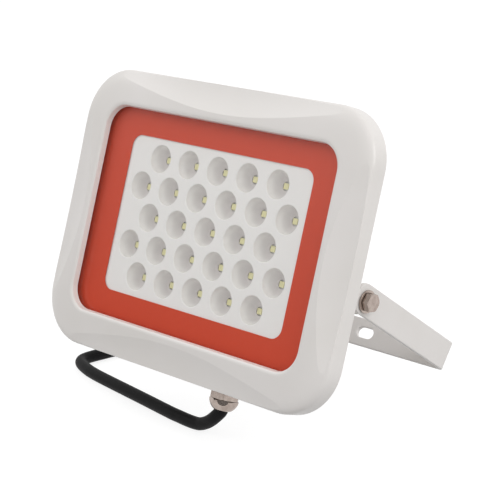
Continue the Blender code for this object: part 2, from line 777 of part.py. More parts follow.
for x, y in STANDOFFS:
    drill = rod("standoff_drill", STANDOFF_DRILL, -0.020, -0.0125, 10)
    drill.matrix_basis = Matrix.Translation((x, y, 0.0))
    drills.append(drill)
lead_drill = rod("led_lead_drill", LED_LEAD_HOLE[2], -0.015, -0.007, 12)
lead_drill.matrix_basis = Matrix.Translation((LED_LEAD_HOLE[0], LED_LEAD_HOLE[1], 0.0))
drills.append(lead_drill)
boolean(housing, as_cutter(gathered("housing_drills", drills)), "DIFFERENCE")

# Screws


def pan_screw(name, head_radius, head_height, shank_radius, shank_length):
    """Pan-head screw along z, its head's underside at z = 0."""
    blank = turned(
        name,
        [
            (0.0, head_height),
            (head_radius * 0.75, head_height),
            (head_radius, head_height * 0.45),
            (head_radius, 0.0),
            (shank_radius, 0.0),
            (shank_radius, -shank_length),
            (0.0, -shank_length),
        ],
        10,
    )
    return blank.data


FORWARD = Matrix.Identity(4)
BACKWARD = Matrix.Rotation(math.pi, 4, "X")


def fasten(prefix, mesh, places, height, facing, paint):
    """One screw object at each place, sharing its mesh."""
    for number, (x, y) in enumerate(places, 1):
        screw = bpy.data.objects.new(f"{prefix}_{number}", mesh)
        screw.matrix_basis = Matrix.Translation((x, y, height)) @ facing
        screw.parent = lamp_frame
        parts.objects.link(screw)
    mesh.materials.append(paint)
    mesh.shade_smooth()
    mesh.set_sharp_from_angle(angle=SHARP)


bright_steel = material("zinc_plated_steel", STEEL, 0.3, 1.0)
fasten(
    "board_screw",
    pan_screw("m3_pan_screw", 0.0027, 0.0019, 0.0012, 0.0055),
    BOARD_SCREWS,
    BOARD_FRONT + GAP,
    FORWARD,
    bright_steel,
)
fasten(
    "bezel_screw",
    pan_screw("m3_bezel_screw", 0.0028, 0.0020, 0.0015, 0.0065),
    BEZEL_SCREWS,
    FLANGE_BACK - GAP,
    BACKWARD,
    bright_steel,
)
COVER_BACK = BODY_BACK - GAP - COVER_SEAL_THICKNESS - GAP - COVER_THICKNESS
fasten(
    "cover_screw",
    pan_screw("m4_cover_screw", 0.0035, 0.0024, 0.0017, 0.0100),
    COVER_SCREWS,
    COVER_BACK - GAP,
    BACKWARD,
    bright_steel,
)
DRIVER_BOARD_BACK = DRIVER_BOARD_FRONT - DRIVER_BOARD_THICKNESS
fasten(
    "driver_screw",
    pan_screw("m3_driver_screw", 0.0026, 0.0018, 0.0011, 0.0040),
    STANDOFFS,
    DRIVER_BOARD_BACK - GAP,
    BACKWARD,
    bright_steel,
)

# Driver and its cover
driver_centre = (sum(DRIVER_BOARD_X) / 2, sum(DRIVER_BOARD_Y) / 2)
driver_half = (
    (DRIVER_BOARD_X[1] - DRIVER_BOARD_X[0]) / 2,
    (DRIVER_BOARD_Y[1] - DRIVER_BOARD_Y[0]) / 2,
)
driver_board = sheet(
    "driver_board",
    [rounded(driver_half, 0.001, driver_centre, 2)]
    + [circle(place, STANDOFF_DRILL, 10) for place in STANDOFFS],
    DRIVER_BOARD_BACK,
    DRIVER_BOARD_FRONT,
)
finish(driver_board, material("green_circuit_board", (0.03, 0.16, 0.07), 0.45))

transformer_top = DRIVER_BOARD_BACK - GAP
transformer = sheet(
    "driver_transformer",
    [rounded((0.0100, 0.0085), 0.0015, (-0.0215, -0.0080), 3)],
    transformer_top - 0.0100,
    transformer_top,
)
finish(transformer, material("yellow_tape_and_ferrite", (0.55, 0.42, 0.06), 0.5))

capacitor = turned(
    "driver_capacitor",
    [(0.0, 0.0080), (0.0043, 0.0080), (0.0048, 0.0075), (0.0048, -0.0080), (0.0, -0.0080)],
    16,
)
capacitor.matrix_basis = Matrix.Translation(
    (-0.0300, -0.0310, transformer_top - 0.0050)
) @ Matrix.Rotation(math.pi / 2, 4, "X")
finish(capacitor, material("black_capacitor_sleeve", (0.02, 0.02, 0.025), 0.4))

terminal = box("terminal_block", (0.0096, -0.0400, -0.0245), (0.0288, -0.0300, DRIVER_FLOOR - GAP))
finish(terminal, material("white_nylon", (0.75, 0.75, 0.7), 0.45))

CORE_OFFSETS = (-0.0050, 0.0, 0.0050)
core_drills = []
for offset in CORE_OFFSETS:
    drill = rod("terminal_drill", CORE_RADIUS + 0.0004, 0.0310, 0.0450, 10)
    drill.matrix_basis = Matrix.Translation((GLAND_X + offset, 0.0, GLAND_Z)) @ Matrix.Rotation(
        math.pi / 2, 4, "X"
    )
    core_drills.append(drill)
boolean(terminal, as_cutter(gathered("terminal_drills", core_drills)), "DIFFERENCE")

cover_holes = [circle(place, COVER_HOLE, 8) for place in COVER_SCREWS]
cover_seal_high = BODY_BACK - GAP
cover_seal = sheet(
    "driver_cover_seal",
    [
        rounded((COVER_HALF[0] - 0.0004, COVER_HALF[1] - 0.0004), 0.0046, (0.0, DRIVER_CENTRE_Y), 4),
        rounded((DRIVER_HALF[0] + 0.0005, DRIVER_HALF[1] + 0.0005), 0.0045, (0.0, DRIVER_CENTRE_Y), 4),
        *cover_holes,
    ],
    cover_seal_high - COVER_SEAL_THICKNESS,
    cover_seal_high,
)
finish(cover_seal, material("black_foam_rubber", RUBBER, 0.8))

cover = sheet(
    "driver_cover",
    [rounded(COVER_HALF, 0.0050, (0.0, DRIVER_CENTRE_Y), 5), *cover_holes],
    COVER_BACK,
    COVER_BACK + COVER_THICKNESS,
)
finish(cover, material("white_painted_cover", WHITE_PAINT, 0.4))

# Pivot hardware, one set on each side
nickel = material("nickel_plated_steel", NICKEL, 0.25, 1.0)
clear_nylon = material("natural_nylon", (0.7, 0.7, 0.66), 0.5)
WASHER_FACE = BRACKET_HALF + GAP
HEAD_FACE = WASHER_FACE + WASHER_THICKNESS + GAP
HEAD_TOP = HEAD_FACE + BOLT_HEAD_HEIGHT
CROWN = ((0.0040, 0.0), (0.0044, 0.0003), (0.0048, 0.0009))  # radius, and depth below the top
for side, side_name in ((-1, "left"), (1, "right")):
    place = Matrix.Translation((0.0, PIVOT_Y, PIVOT_Z)) @ Matrix.Rotation(side * math.pi / 2, 4, "Y")

    bolt = sheet(
        "pivot_bolt_" + side_name, [hexagon(BOLT_ACROSS_FLATS, BOLT_TURN)], HEAD_FACE, HEAD_TOP
    )
    bolt.matrix_basis = place
    finish(bolt, nickel)
    dome = turned(
        "bolt_crown_" + side_name,
        [
            (0.0, HEAD_TOP),
            *[(radius, HEAD_TOP - depth) for radius, depth in CROWN],
            (BOLT_ACROSS_FLATS, HEAD_FACE - GAP),
            (0.0, HEAD_FACE - GAP),
        ],
        24,
    )
    dome.matrix_basis = place
    boolean(bolt, as_cutter(dome), "INTERSECT")
    shank = rod("bolt_shank_" + side_name, BOLT_RADIUS, BOLT_TIP, HEAD_FACE + GAP, 16)
    shank.matrix_basis = place
    boolean(bolt, as_cutter(shank), "UNION")

    washer = ring(
        "flat_washer_" + side_name,
        BOLT_RADIUS + GAP,
        WASHER_RADIUS,
        WASHER_FACE,
        WASHER_FACE + WASHER_THICKNESS,
    )
    washer.matrix_basis = place
    finish(washer, nickel)

    friction = ring(
        "friction_washer_" + side_name,
        BOLT_RADIUS + GAP,
        FRICTION_RADIUS,
        BOSS_END + GAP,
        BRACKET_HALF - STRIP_THICKNESS - GAP,
    )
    friction.matrix_basis = place
    finish(friction, clear_nylon)

# Cable gland
brass = material("nickel_plated_brass", NICKEL, 0.22, 1.0)
GLAND_PLACE = Matrix.Translation((GLAND_X, 0.0, GLAND_Z)) @ Matrix.Rotation(math.pi / 2, 4, "X")
PAD = -GLAND_PAD
BODY_TOP = PAD + 0.0020
NUT_END = -GLAND_END
NUT_TOP = NUT_END - GLAND_NUT_HEIGHT
THREAD_END = NUT_TOP + 0.0012

gland_ring = ring(
    "gland_o_ring", GLAND_THREAD_RADIUS + GAP, GLAND_RING_RADIUS, PAD + GAP, BODY_TOP - GAP
)
gland_ring.matrix_basis = GLAND_PLACE
finish(gland_ring, material("black_nitrile", RUBBER, 0.6))

gland_body = sheet(
    "gland_body", [hexagon(GLAND_ACROSS_FLATS, GLAND_BODY_TURN)], BODY_TOP, NUT_TOP - GAP
)
gland_body.matrix_basis = GLAND_PLACE
finish(gland_body, brass)
thread = rod("gland_thread", GLAND_THREAD_RADIUS, GLAND_THREAD_FOOT, THREAD_END, 20)
thread.matrix_basis = GLAND_PLACE
boolean(gland_body, as_cutter(thread), "UNION")
gland_bore = rod("gland_bore", GLAND_BORE_RADIUS, GLAND_THREAD_FOOT - GAP, BEYOND, 20)
gland_bore.matrix_basis = GLAND_PLACE
boolean(gland_body, as_cutter(gland_bore), "DIFFERENCE")

dome_nut = sheet("gland_dome_nut", [hexagon(GLAND_ACROSS_FLATS, GLAND_NUT_TURN)], NUT_TOP, NUT_END)
dome_nut.matrix_basis = GLAND_PLACE
finish(dome_nut, brass)
NUT_DOME = (
    (0.0042, 0.0),
    (0.0050, 0.0005),
    (0.0060, 0.0016),
    (0.0067, 0.0028),
    (0.0071, 0.0038),
    (0.0073, 0.0048),
)  # radius, and distance from the nut's end
nut_form = turned(
    "nut_form",
    [
        (0.0, NUT_END),
        *[(radius, NUT_END - depth) for radius, depth in NUT_DOME],
        (NUT_DOME[-1][0], NUT_TOP - GAP),
        (0.0, NUT_TOP - GAP),
    ],
    24,
)
nut_form.matrix_basis = GLAND_PLACE
boolean(dome_nut, as_cutter(nut_form), "INTERSECT")
LEAD_BORE = LEAD_RADIUS + 0.0004
nut_bore = turned(
    "nut_bore",
    [
        (0.0, BEYOND),
        (LEAD_BORE, BEYOND),
        (LEAD_BORE, NUT_END - 0.0012),
        (GLAND_BORE_RADIUS, NUT_END - 0.0026),
        (GLAND_THREAD_RADIUS + GAP, NUT_END - 0.0038),
        (GLAND_THREAD_RADIUS + GAP, GLAND_THREAD_FOOT),
        (0.0, GLAND_THREAD_FOOT),
    ],
    20,
)
nut_bore.matrix_basis = GLAND_PLACE
boolean(dome_nut, as_cutter(nut_bore), "DIFFERENCE")

gland_seal = ring("gland_seal", LEAD_RADIUS + GAP, GLAND_SEAL_RADIUS, BODY_TOP, NUT_END - 0.0030, 20)
gland_seal.matrix_basis = GLAND_PLACE
finish(gland_seal, material("black_neoprene", RUBBER, 0.7))

# Wiring inside the lamp
lead_paint = material("black_rubber_sheath", RUBBER, 0.55)
inner_points = [(GLAND_X, y, GLAND_Z) for y in (LEAD_FROM + GAP, -0.0740, -0.0620, INNER_LEAD_END)]
finish(tube("inner_lead", inner_points, LEAD_RADIUS, 2), lead_paint)

CORES = (
    ("live", material("brown_core", (0.16, 0.06, 0.025), 0.45)),
    ("earth", material("green_yellow_core", (0.32, 0.45, 0.03), 0.45)),
    ("neutral", material("blue_core", (0.02, 0.12, 0.5), 0.45)),
)
core_start = INNER_LEAD_END + GAP
for (core, paint), offset in zip(CORES, CORE_OFFSETS):
    route = [
        Vector((GLAND_X + offset * 0.5, core_start, GLAND_Z)),
        Vector((GLAND_X + offset * 0.6, core_start + 0.0015, GLAND_Z)),
        Vector((GLAND_X + offset * 0.95, core_start + 0.0050, GLAND_Z)),
        Vector((GLAND_X + offset, core_start + 0.0080, GLAND_Z)),
        Vector((GLAND_X + offset, INNER_CORE_END, GLAND_Z)),
    ]
    finish(tube("inner_core_" + core, smooth_route(route, 0.0036), CORE_RADIUS, 2), paint)

LED_LEADS = (
    ("positive", 0.0011, material("red_silicone_wire", (0.5, 0.03, 0.02), 0.5)),
    ("negative", -0.0011, material("black_silicone_wire", RUBBER, 0.5)),
)
for polarity, side, paint in LED_LEADS:
    route = [
        Vector((-0.0060, LED_LEAD_HOLE[1] + side * 1.6, DRIVER_BOARD_FRONT + 0.0012)),
        Vector((-0.0030, LED_LEAD_HOLE[1] + side * 1.3, DRIVER_BOARD_FRONT + 0.0015)),
        Vector((-0.0004, LED_LEAD_HOLE[1] + side, DRIVER_FLOOR - 0.0003)),
        Vector((0.0, LED_LEAD_HOLE[1] + side, -0.0100)),
        Vector((0.0, LED_LEAD_HOLE[1] + side, -0.0064)),
    ]
    finish(tube("led_lead_" + polarity, smooth_route(route, 0.0025), 0.0006, 1), paint)

# Supply lead outside the lamp, lying behind and beside it
bpy.context.view_layer.update()
OUT_OF_GLAND = head_pivot.matrix_world.to_3x3() @ Vector((0.0, -1.0, 0.0))
lead_start = lamp_frame.matrix_world @ Vector((GLAND_X, LEAD_FROM, GLAND_Z))
turn_start = lamp_frame.matrix_world @ Vector((GLAND_X, LEAD_TURN_FROM, GLAND_Z))
turn_points = []
for angle in LEAD_TURN:
    out = LEAD_TURN_RADIUS * math.sin(math.radians(angle))
    aside = LEAD_TURN_RADIUS * (1 - math.cos(math.radians(angle)))
    turn_points.append(turn_start + OUT_OF_GLAND * out - Vector((aside, 0.0, 0.0)))
lead_rest = smooth_route([turn_points[-1], *[Vector(point) for point in LEAD_ROUTE]], LEAD_STEP)
lead = tube("supply_lead", [lead_start, *turn_points[:-1], *lead_rest], LEAD_RADIUS, 3)
finish(lead, lead_paint, head_pivot)
lead.matrix_parent_inverse = head_pivot.matrix_world.inverted()

lead_end = lead_rest[-1] + Vector((GAP, 0.0, 0.0))
for (core, paint), spread in zip(CORES, (-1.0, 0.0, 1.0)):
    drop = LEAD_REST - LEAD_RADIUS + CORE_RADIUS + 0.0001
    middle = spread == 0.0
    route = [
        lead_end + Vector((0.0, spread * 0.00115, 0.00132 if middle else -0.00066)),
        lead_end + Vector((0.0030, spread * 0.0016, 0.0011 if middle else -0.0011)),
        lead_end + Vector((0.0075, spread * 0.0027, -0.0004 if middle else -0.0018)),
        Vector((lead_end.x + 0.0125, lead_end.y + spread * 0.0038, drop)),
        Vector((lead_end.x + CORE_LENGTH, lead_end.y + spread * 0.0056, drop)),
    ]
    wire = tube("lead_core_" + core, smooth_route(route, 0.0042), CORE_RADIUS, 2)
    finish(wire, paint, head_pivot)
    wire.matrix_parent_inverse = head_pivot.matrix_world.inverted()
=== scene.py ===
import math

import bmesh
import bpy
from mathutils import Matrix, Vector


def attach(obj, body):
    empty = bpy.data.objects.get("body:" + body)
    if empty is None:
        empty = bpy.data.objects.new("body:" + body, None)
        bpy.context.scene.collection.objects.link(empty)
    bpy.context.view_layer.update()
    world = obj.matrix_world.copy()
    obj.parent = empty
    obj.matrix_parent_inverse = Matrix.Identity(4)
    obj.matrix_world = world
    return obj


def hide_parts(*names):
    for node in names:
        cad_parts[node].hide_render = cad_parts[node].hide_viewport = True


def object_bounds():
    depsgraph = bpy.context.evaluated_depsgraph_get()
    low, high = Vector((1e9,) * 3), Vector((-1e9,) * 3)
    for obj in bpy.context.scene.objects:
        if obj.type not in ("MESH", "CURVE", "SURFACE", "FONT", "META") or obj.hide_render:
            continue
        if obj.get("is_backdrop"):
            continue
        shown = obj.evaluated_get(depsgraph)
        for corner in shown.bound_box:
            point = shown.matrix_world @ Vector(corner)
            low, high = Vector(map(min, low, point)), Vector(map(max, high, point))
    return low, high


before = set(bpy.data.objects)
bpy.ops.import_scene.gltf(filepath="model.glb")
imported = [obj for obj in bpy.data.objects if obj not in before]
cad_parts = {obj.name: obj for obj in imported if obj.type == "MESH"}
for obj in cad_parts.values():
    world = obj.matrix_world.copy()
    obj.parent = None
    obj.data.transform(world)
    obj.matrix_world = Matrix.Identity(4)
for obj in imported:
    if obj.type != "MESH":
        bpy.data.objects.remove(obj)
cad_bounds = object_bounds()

# Attitude of the lamp and its bracket, in metres and radians
LAMP_TILT = math.radians(17.42)
ARM_DROP = math.radians(34.34)
PIVOT_TO_BASE = 0.0797
PIVOT_BELOW_MIDDLE = 0.00065  # the bolt holes sit a little below the middle of the strip
PIVOT_Y = -0.0140
PIVOT_Z = -0.0262
BRACKET = Matrix.Rotation(math.pi - ARM_DROP, 4, "X")
PIVOT = BRACKET @ Vector((0.0, PIVOT_TO_BASE, PIVOT_BELOW_MIDDLE))
LAMP_TURN = Matrix.Rotation(math.pi / 2 - LAMP_TILT, 4, "X")
LAMP = Matrix.Translation(PIVOT) @ LAMP_TURN @ Matrix.Translation((0.0, -PIVOT_Y, -PIVOT_Z))
GAP = 0.0003
WELD = 0.0000005  # points closer than this become one

# Camera at the photograph's viewing angle
CAMERA_AT = (0.53233, -0.60535, 0.26366)
CAMERA_DOWN = math.radians(15.571)
CAMERA_YAW = math.radians(44.053)
CAMERA_SENSOR = 36.0  # millimetres, as is the lens
CAMERA_LENS = 114.52
CAMERA_NEAR = 0.01
scene = bpy.context.scene
camera = bpy.data.objects.new("camera", bpy.data.cameras.new("camera"))
camera.location = CAMERA_AT
camera.rotation_euler = (math.pi / 2 - CAMERA_DOWN, 0.0, CAMERA_YAW)
camera.data.sensor_width = CAMERA_SENSOR
camera.data.lens = CAMERA_LENS
camera.data.clip_start = CAMERA_NEAR
scene.collection.objects.link(camera)
scene.camera = camera

# Materials
CUP_FLOOR = -0.0064
# painted shade: below this depth the bowls' colour greys towards their floors, standing in for the shade in
# them
CUP_UNSHADED_DEPTH = 0.0030  # how far down the bowls stay as pale as the plate


def linear(code):
    """A colour written as sRGB hex, in linear light."""
    values = [int(code[i : i + 2], 16) / 255 for i in (1, 3, 5)]
    return (*[v / 12.92 if v <= 0.04045 else ((v + 0.055) / 1.055) ** 2.4 for v in values], 1.0)


WHITE = linear("#FFFFFF")


def add(tree, kind, inputs, **settings):
    """Add a node. Each input is a value, or the socket that feeds it."""
    made = tree.nodes.new("ShaderNode" + kind)
    for key, value in settings.items():
        setattr(made, key, value)
    for key, value in inputs.items():
        if isinstance(value, bpy.types.NodeSocket):
            tree.links.new(value, made.inputs[key])
        else:
            made.inputs[key].default_value = value
    return made


def surface(name, colour, roughness, metallic=0.0, **extra):
    """A new material, and its parts: the tree, the shader and coordinates in metres."""
    made = bpy.data.materials.new(name)
    made.use_nodes = True
    tree = made.node_tree
    shader = tree.nodes["Principled BSDF"]
    values = {"Base Color": linear(colour), "Roughness": roughness, "Metallic": metallic, **extra}
    for key, value in values.items():
        shader.inputs[key.replace("_", " ")].default_value = value
    return made, (tree, shader, add(tree, "TexCoord", {}).outputs["Object"])


def emptied(name):
    """A new material without nodes, and its tree."""
    made = bpy.data.materials.new(name)
    made.use_nodes = True
    made.node_tree.nodes.clear()
    return made, made.node_tree


def mapped(tree, value, low, high, to=(0.0, 1.0)):
    """The value, with the range from low to high spread over another."""
    limits = {"Value": value, "From Min": low, "From Max": high, "To Min": to[0], "To Max": to[1]}
    return add(tree, "MapRange", limits).outputs["Result"]


def shaded(parts, share, dark, pale):
    """The base colour goes from dark to pale with the share."""
    tree, shader, _ = parts
    # a Mix node has its two colours at inputs 6 and 7, and their mixture at output 2
    mixed = add(tree, "Mix", {"Factor": share, 6: linear(dark), 7: linear(pale)}, data_type="RGBA")
    tree.links.new(mixed.outputs[2], shader.inputs["Base Color"])


def mottled(parts, size, dark, pale, detail=2.0):
    """Two shades of the base colour, in soft patches of a size in metres."""
    tree, _, places = parts
    patches = add(tree, "TexNoise", {"Vector": places, "Scale": 1 / size, "Detail": detail})
    shaded(parts, mapped(tree, patches.outputs["Fac"], 0.35, 0.65), dark, pale)


def grained(parts, size, depth, detail=2.0, rough=None):
    """A relief of a grain size and depth in metres, which may also vary the roughness."""
    tree, shader, places = parts
    grain = add(tree, "TexNoise", {"Vector": places, "Scale": 1 / size, "Detail": detail})
    height = grain.outputs["Fac"]
    bump = add(tree, "Bump", {"Height": height, "Distance": depth})
    tree.links.new(bump.outputs["Normal"], shader.inputs["Normal"])
    if rough:
        tree.links.new(mapped(tree, height, 0.3, 0.7, rough), shader.inputs["Roughness"])


def gloss_enamel():
    """Sprayed polyester on a die casting: smooth white, with an orange peel about 1.6 mm across."""
    made, parts = surface("white_gloss_enamel", "#E6E2DE", 0.3)
    mottled(parts, 0.045, "#E4E0DC", "#E8E4E1")
    grained(parts, 0.0016, 0.000005, detail=1.0, rough=(0.28, 0.34))
    return made


def powder_coat(name, size, depth):
    """Powder coat on steel or a rough casting: white, with a fine sandy grain and a dull sheen."""
    made, parts = surface(name, "#E6E2DE", 0.42)
    mottled(parts, 0.030, "#E4E0DC", "#E8E4E1")
    grained(parts, size, depth, detail=4.0, rough=(0.36, 0.5))
    return made


def moulded_abs():
    """White ABS from a spark-eroded mould: nearly matt, grain 0.25 mm, with painted shade that greys it down
    in the bowls.
    """
    made, parts = surface("white_moulded_abs", "#F5F3F0", 0.5)
    tree, _, places = parts
    outwards = LAMP.to_3x3().col[2]
    face = LAMP.translation.dot(outwards)
    along = add(tree, "VectorMath", {0: places, 1: outwards}, operation="DOT_PRODUCT")
    along = along.outputs["Value"]
    # painted shade: the colour greys from the plate's white down to #D8D3D1 at the bowls' floors
    height = mapped(tree, along, face + CUP_FLOOR, face - CUP_UNSHADED_DEPTH)
    shaded(parts, height, "#D8D3D1", "#F5F3F0")
    grained(parts, 0.00025, 0.000006, rough=(0.44, 0.56))
    return made


def ceramic_print():
    """Red frit fired on the back of the glass: deep and even, with a faint screen mottle."""
    made, parts = surface("red_ceramic_print", "#D64E34", 0.6, Specular_IOR_Level=0.1)
    mottled(parts, 0.0006, "#D44C32", "#D85036", detail=4.0)
    grained(parts, 0.0002, 0.000004)
    return made


def toughened_glass():
    """Clear float glass: all that shows is its shine, which grows towards a low angle."""
    made, tree = emptied("toughened_glass")
    places = add(tree, "TexCoord", {}).outputs["Object"]
    # the rollers of the furnace leave waves about 30 mm apart that only bend reflections
    waves = add(tree, "TexNoise", {"Vector": places, "Scale": 1 / 0.030, "Detail": 0.0})
    bump = add(tree, "Bump", {"Height": waves.outputs["Fac"], "Distance": 0.00001})
    shine = {"Color": WHITE, "Roughness": 0.02, "Normal": bump.outputs["Normal"]}
    shine = add(tree, "BsdfGlossy", shine)
    clear = add(tree, "BsdfTransparent", {"Color": WHITE})
    # Schlick's rule, the same from both sides, with half of the pane's shine on each
    slant = add(tree, "LayerWeight", {"Blend": 0.5}).outputs["Facing"]
    steep = add(tree, "Math", {0: slant, 1: 5.0}, operation="POWER").outputs[0]
    share = add(tree, "Math", {0: steep, 1: 0.5, 2: 0.020}, operation="MULTIPLY_ADD").outputs[0]
    mixed = add(tree, "MixShader", {0: share, 1: clear.outputs["BSDF"], 2: shine.outputs["BSDF"]})
    add(tree, "OutputMaterial", {"Surface": mixed.outputs["Shader"]})
    return made


def phosphor():
    """Silicone filled with yellow phosphor: waxy, with specks too fine to see one by one."""
    made, parts = surface("led_phosphor_silicone", "#F2EDB8", 0.3)
    mottled(parts, 0.00012, "#ECE6A8", "#F7F3C8", detail=3.0)
    grained(parts, 0.0001, 0.000005)
    return made


def solder_mask(name, dark, pale):
    """Solder mask on a circuit board: an even satin film with a slight orange peel."""
    made, parts = surface(name, pale, 0.38)
    mottled(parts, 0.006, dark, pale)
    grained(parts, 0.0005, 0.000006)
    return made


def plated(name, dark, pale, rough, size):
    """Bright plating: it mirrors the room in its own tint, with a faint cloud and rub marks."""
    made, parts = surface(name, pale, rough[0], 1.0)
    mottled(parts, 0.003, dark, pale)
    grained(parts, size, 0.000004, rough=rough)
    return made


def drawn_rubber():
    """Extruded rubber sheath: nearly black and softly shiny, with a fine skin and a grey bloom."""
    made, parts = surface("black_rubber_sheath", "#0E0D0E", 0.55, Specular_IOR_Level=0.14)
    mottled(parts, 0.004, "#0C0B0C", "#111011", detail=4.0)
    grained(parts, 0.0004, 0.00002, detail=3.0, rough=(0.50, 0.62))
    return made


def moulded_rubber(name, dark, pale, grain, depth):
    """Moulded or foamed rubber for seals: dull, with a skin that breaks the light."""
    made, parts = surface(name, pale, 0.75)
    mottled(parts, grain * 6, dark, pale)
    grained(parts, grain, depth, rough=(0.65, 0.85))
    return made


def plastic(name, dark, pale, rough):
    """Moulded or extruded plastic: an even colour with a fine grain and a soft shine."""
    made, parts = surface(name, pale, rough)
    mottled(parts, 0.008, dark, pale)
    grained(parts, 0.0004, 0.000008, rough=(rough - 0.05, rough + 0.08))
    return made


ENAMEL = gloss_enamel()
STEEL_COAT = powder_coat("white_powder_coated_steel", 0.0005, 0.000015)
CAST_COAT = powder_coat("white_powder_coated_casting", 0.0007, 0.00003)
ABS = moulded_abs()
FRIT = ceramic_print()
GLASS = toughened_glass()
PHOSPHOR = phosphor()
BOARD_MASK = solder_mask("white_solder_mask", "#DEDDD9", "#E6E5E1")
GREEN_MASK = solder_mask("green_solder_mask", "#1C5230", "#24633B")
NICKEL = plated("nickel_plating", "#A2948C", "#B3A69E", (0.16, 0.26), 0.0004)
ZINC = plated("zinc_plating", "#A9ADB0", "#BFC3C6", (0.28, 0.42), 0.0003)
COPPER = plated("bare_copper", "#B56B47", "#CC8460", (0.22, 0.36), 0.0002)
SHEATH = drawn_rubber()
SILICONE = moulded_rubber("grey_silicone", "#9A9A98", "#A6A6A4", 0.0006, 0.00001)
NITRILE = moulded_rubber("black_nitrile", "#1E1D1D", "#262525", 0.0005, 0.00001)
FOAM = moulded_rubber("black_foam_rubber", "#171717", "#232323", 0.0003, 0.00006)
NYLON = plastic("natural_nylon", "#DAD8CC", "#E6E4D9", 0.42)
TAPE = plastic("yellow_polyester_tape", "#BF9C1C", "#D3AE2A", 0.34)
SLEEVE = plastic("black_shrink_sleeve", "#18181B", "#212126", 0.35)
BROWN = plastic("brown_pvc", "#5B3420", "#694028", 0.36)
BLUE = plastic("blue_pvc", "#1F4E9E", "#275CB4", 0.36)
GREEN = plastic("green_pvc", "#2F7A35", "#388A3F", 0.36)
YELLOW = plastic("yellow_pvc", "#D9C22B", "#E6D03A", 0.36)
RED = plastic("red_silicone_wire", "#A3201A", "#B52A22", 0.45)

# Making of meshes
SHARP_FROM = math.radians(35)  # an edge that turns more than this stays crisp
WIRE_SHARP_FROM = math.radians(50)


def mesh_piece(name, bm):
    """An object from a bmesh, with its faces turned outwards."""
    bmesh.ops.recalc_face_normals(bm, faces=bm.faces[:])
    mesh = bpy.data.meshes.new(name)
    bm.to_mesh(mesh)
    bm.free()
    made = bpy.data.objects.new(name, mesh)
    scene.collection.objects.link(made)
    return made


def applied(obj):
    """The object with its curve or modifiers turned into one plain mesh."""
    bpy.context.view_layer.update()
    graph = bpy.context.evaluated_depsgraph_get()
    mesh = bpy.data.meshes.new_from_object(obj.evaluated_get(graph))
    name, world = obj.name, obj.matrix_world.copy()
    bpy.data.objects.remove(obj, do_unlink=True)
    made = bpy.data.objects.new(name, mesh)
    made.matrix_world = world
    scene.collection.objects.link(made)
    return made


def quarter(steps):
    """Angles from 0 to a right angle, in radians."""
    return [math.pi / 2 * step / steps for step in range(steps + 1)]


def arc(centre, radius, start, end, steps):
    """Points on an arc, by angle in degrees."""
    angles = [math.radians(start + (end - start) * step / steps) for step in range(steps + 1)]
    return [(centre[0] + radius * math.cos(a), centre[1] + radius * math.sin(a)) for a in angles]


def rounded(half, radius, centre=(0.0, 0.0), steps=16, sides=1):
    """Outline of a rectangle with round corners, anticlockwise, its sides in equal parts."""
    corners = []
    for x_side, y_side, start in ((1, 1, 0), (-1, 1, 90), (-1, -1, 180), (1, -1, 270)):
        middle = (centre[0] + x_side * (half[0] - radius), centre[1] + y_side * (half[1] - radius))
        corners.append(arc(middle, radius, start, start + 90, steps))
    points = []
    for corner, following in zip(corners, corners[1:] + corners[:1]):
        points += corner
        (x0, y0), (x1, y1) = corner[-1], following[0]
        for part in range(1, sides):
            share = part / sides
            points.append((x0 + (x1 - x0) * share, y0 + (y1 - y0) * share))
    return points


def inset(half, depth):
    """A half size, less a depth on both axes."""
    return half[0] - depth, half[1] - depth


def circle(radius, centre=(0.0, 0.0), steps=32):
    """Outline of a circle, anticlockwise."""
    return arc(centre, radius, 0, 360 * (steps - 1) / steps, steps - 1)


def plate(name, outlines, low, high, edge=0.0):
    """A flat piece between two heights, with round edges; outlines after the first are holes."""
    curve = bpy.data.curves.new(name, "CURVE")
    curve.dimensions = "2D"
    curve.fill_mode = "BOTH"
    curve.extrude = (high - low) / 2 - edge
    curve.bevel_depth = edge
    curve.bevel_resolution = 2
    curve.offset = -edge
    for index, outline in enumerate(outlines):
        spline = curve.splines.new("POLY")
        spline.points.add(len(outline) - 1)
        for point, (x, y) in zip(spline.points, outline if index == 0 else outline[::-1]):
            point.co = (x, y, 0.0, 1.0)
        spline.use_cyclic_u = True
    obj = bpy.data.objects.new(name, curve)
    scene.collection.objects.link(obj)
    made = applied(obj)
    made.data.transform(Matrix.Translation((0.0, 0.0, (high + low) / 2)))
    return welded(made)


def welded(obj):
    """The object with its doubled points joined and its faces turned outwards."""
    bm = bmesh.new()
    bm.from_mesh(obj.data)
    bmesh.ops.remove_doubles(bm, verts=bm.verts[:], dist=WELD)
    bmesh.ops.recalc_face_normals(bm, faces=bm.faces[:])
    bm.to_mesh(obj.data)
    bm.free()
    return obj


def loft(name, rings, closed=False, steps=16, sides=1):
    """A skin through rounded rectangles (half size, corner radius, height)."""
    bm = bmesh.new()
    loops = [
        [bm.verts.new((x, y, height)) for x, y in rounded(half, radius, (0.0, 0.0), steps, sides)]
        for half, radius, height in rings
    ]
    pairs = list(zip(loops, loops[1:]))
    if closed:
        pairs.append((loops[-1], loops[0]))
    for lower, upper in pairs:
        count = len(lower)
        for i in range(count):
            j = (i + 1) % count
            bm.faces.new((lower[i], lower[j], upper[j], upper[i]))
    if not closed:
        bm.faces.new(loops[0])
        bm.faces.new(loops[-1])
    return mesh_piece(name, bm)


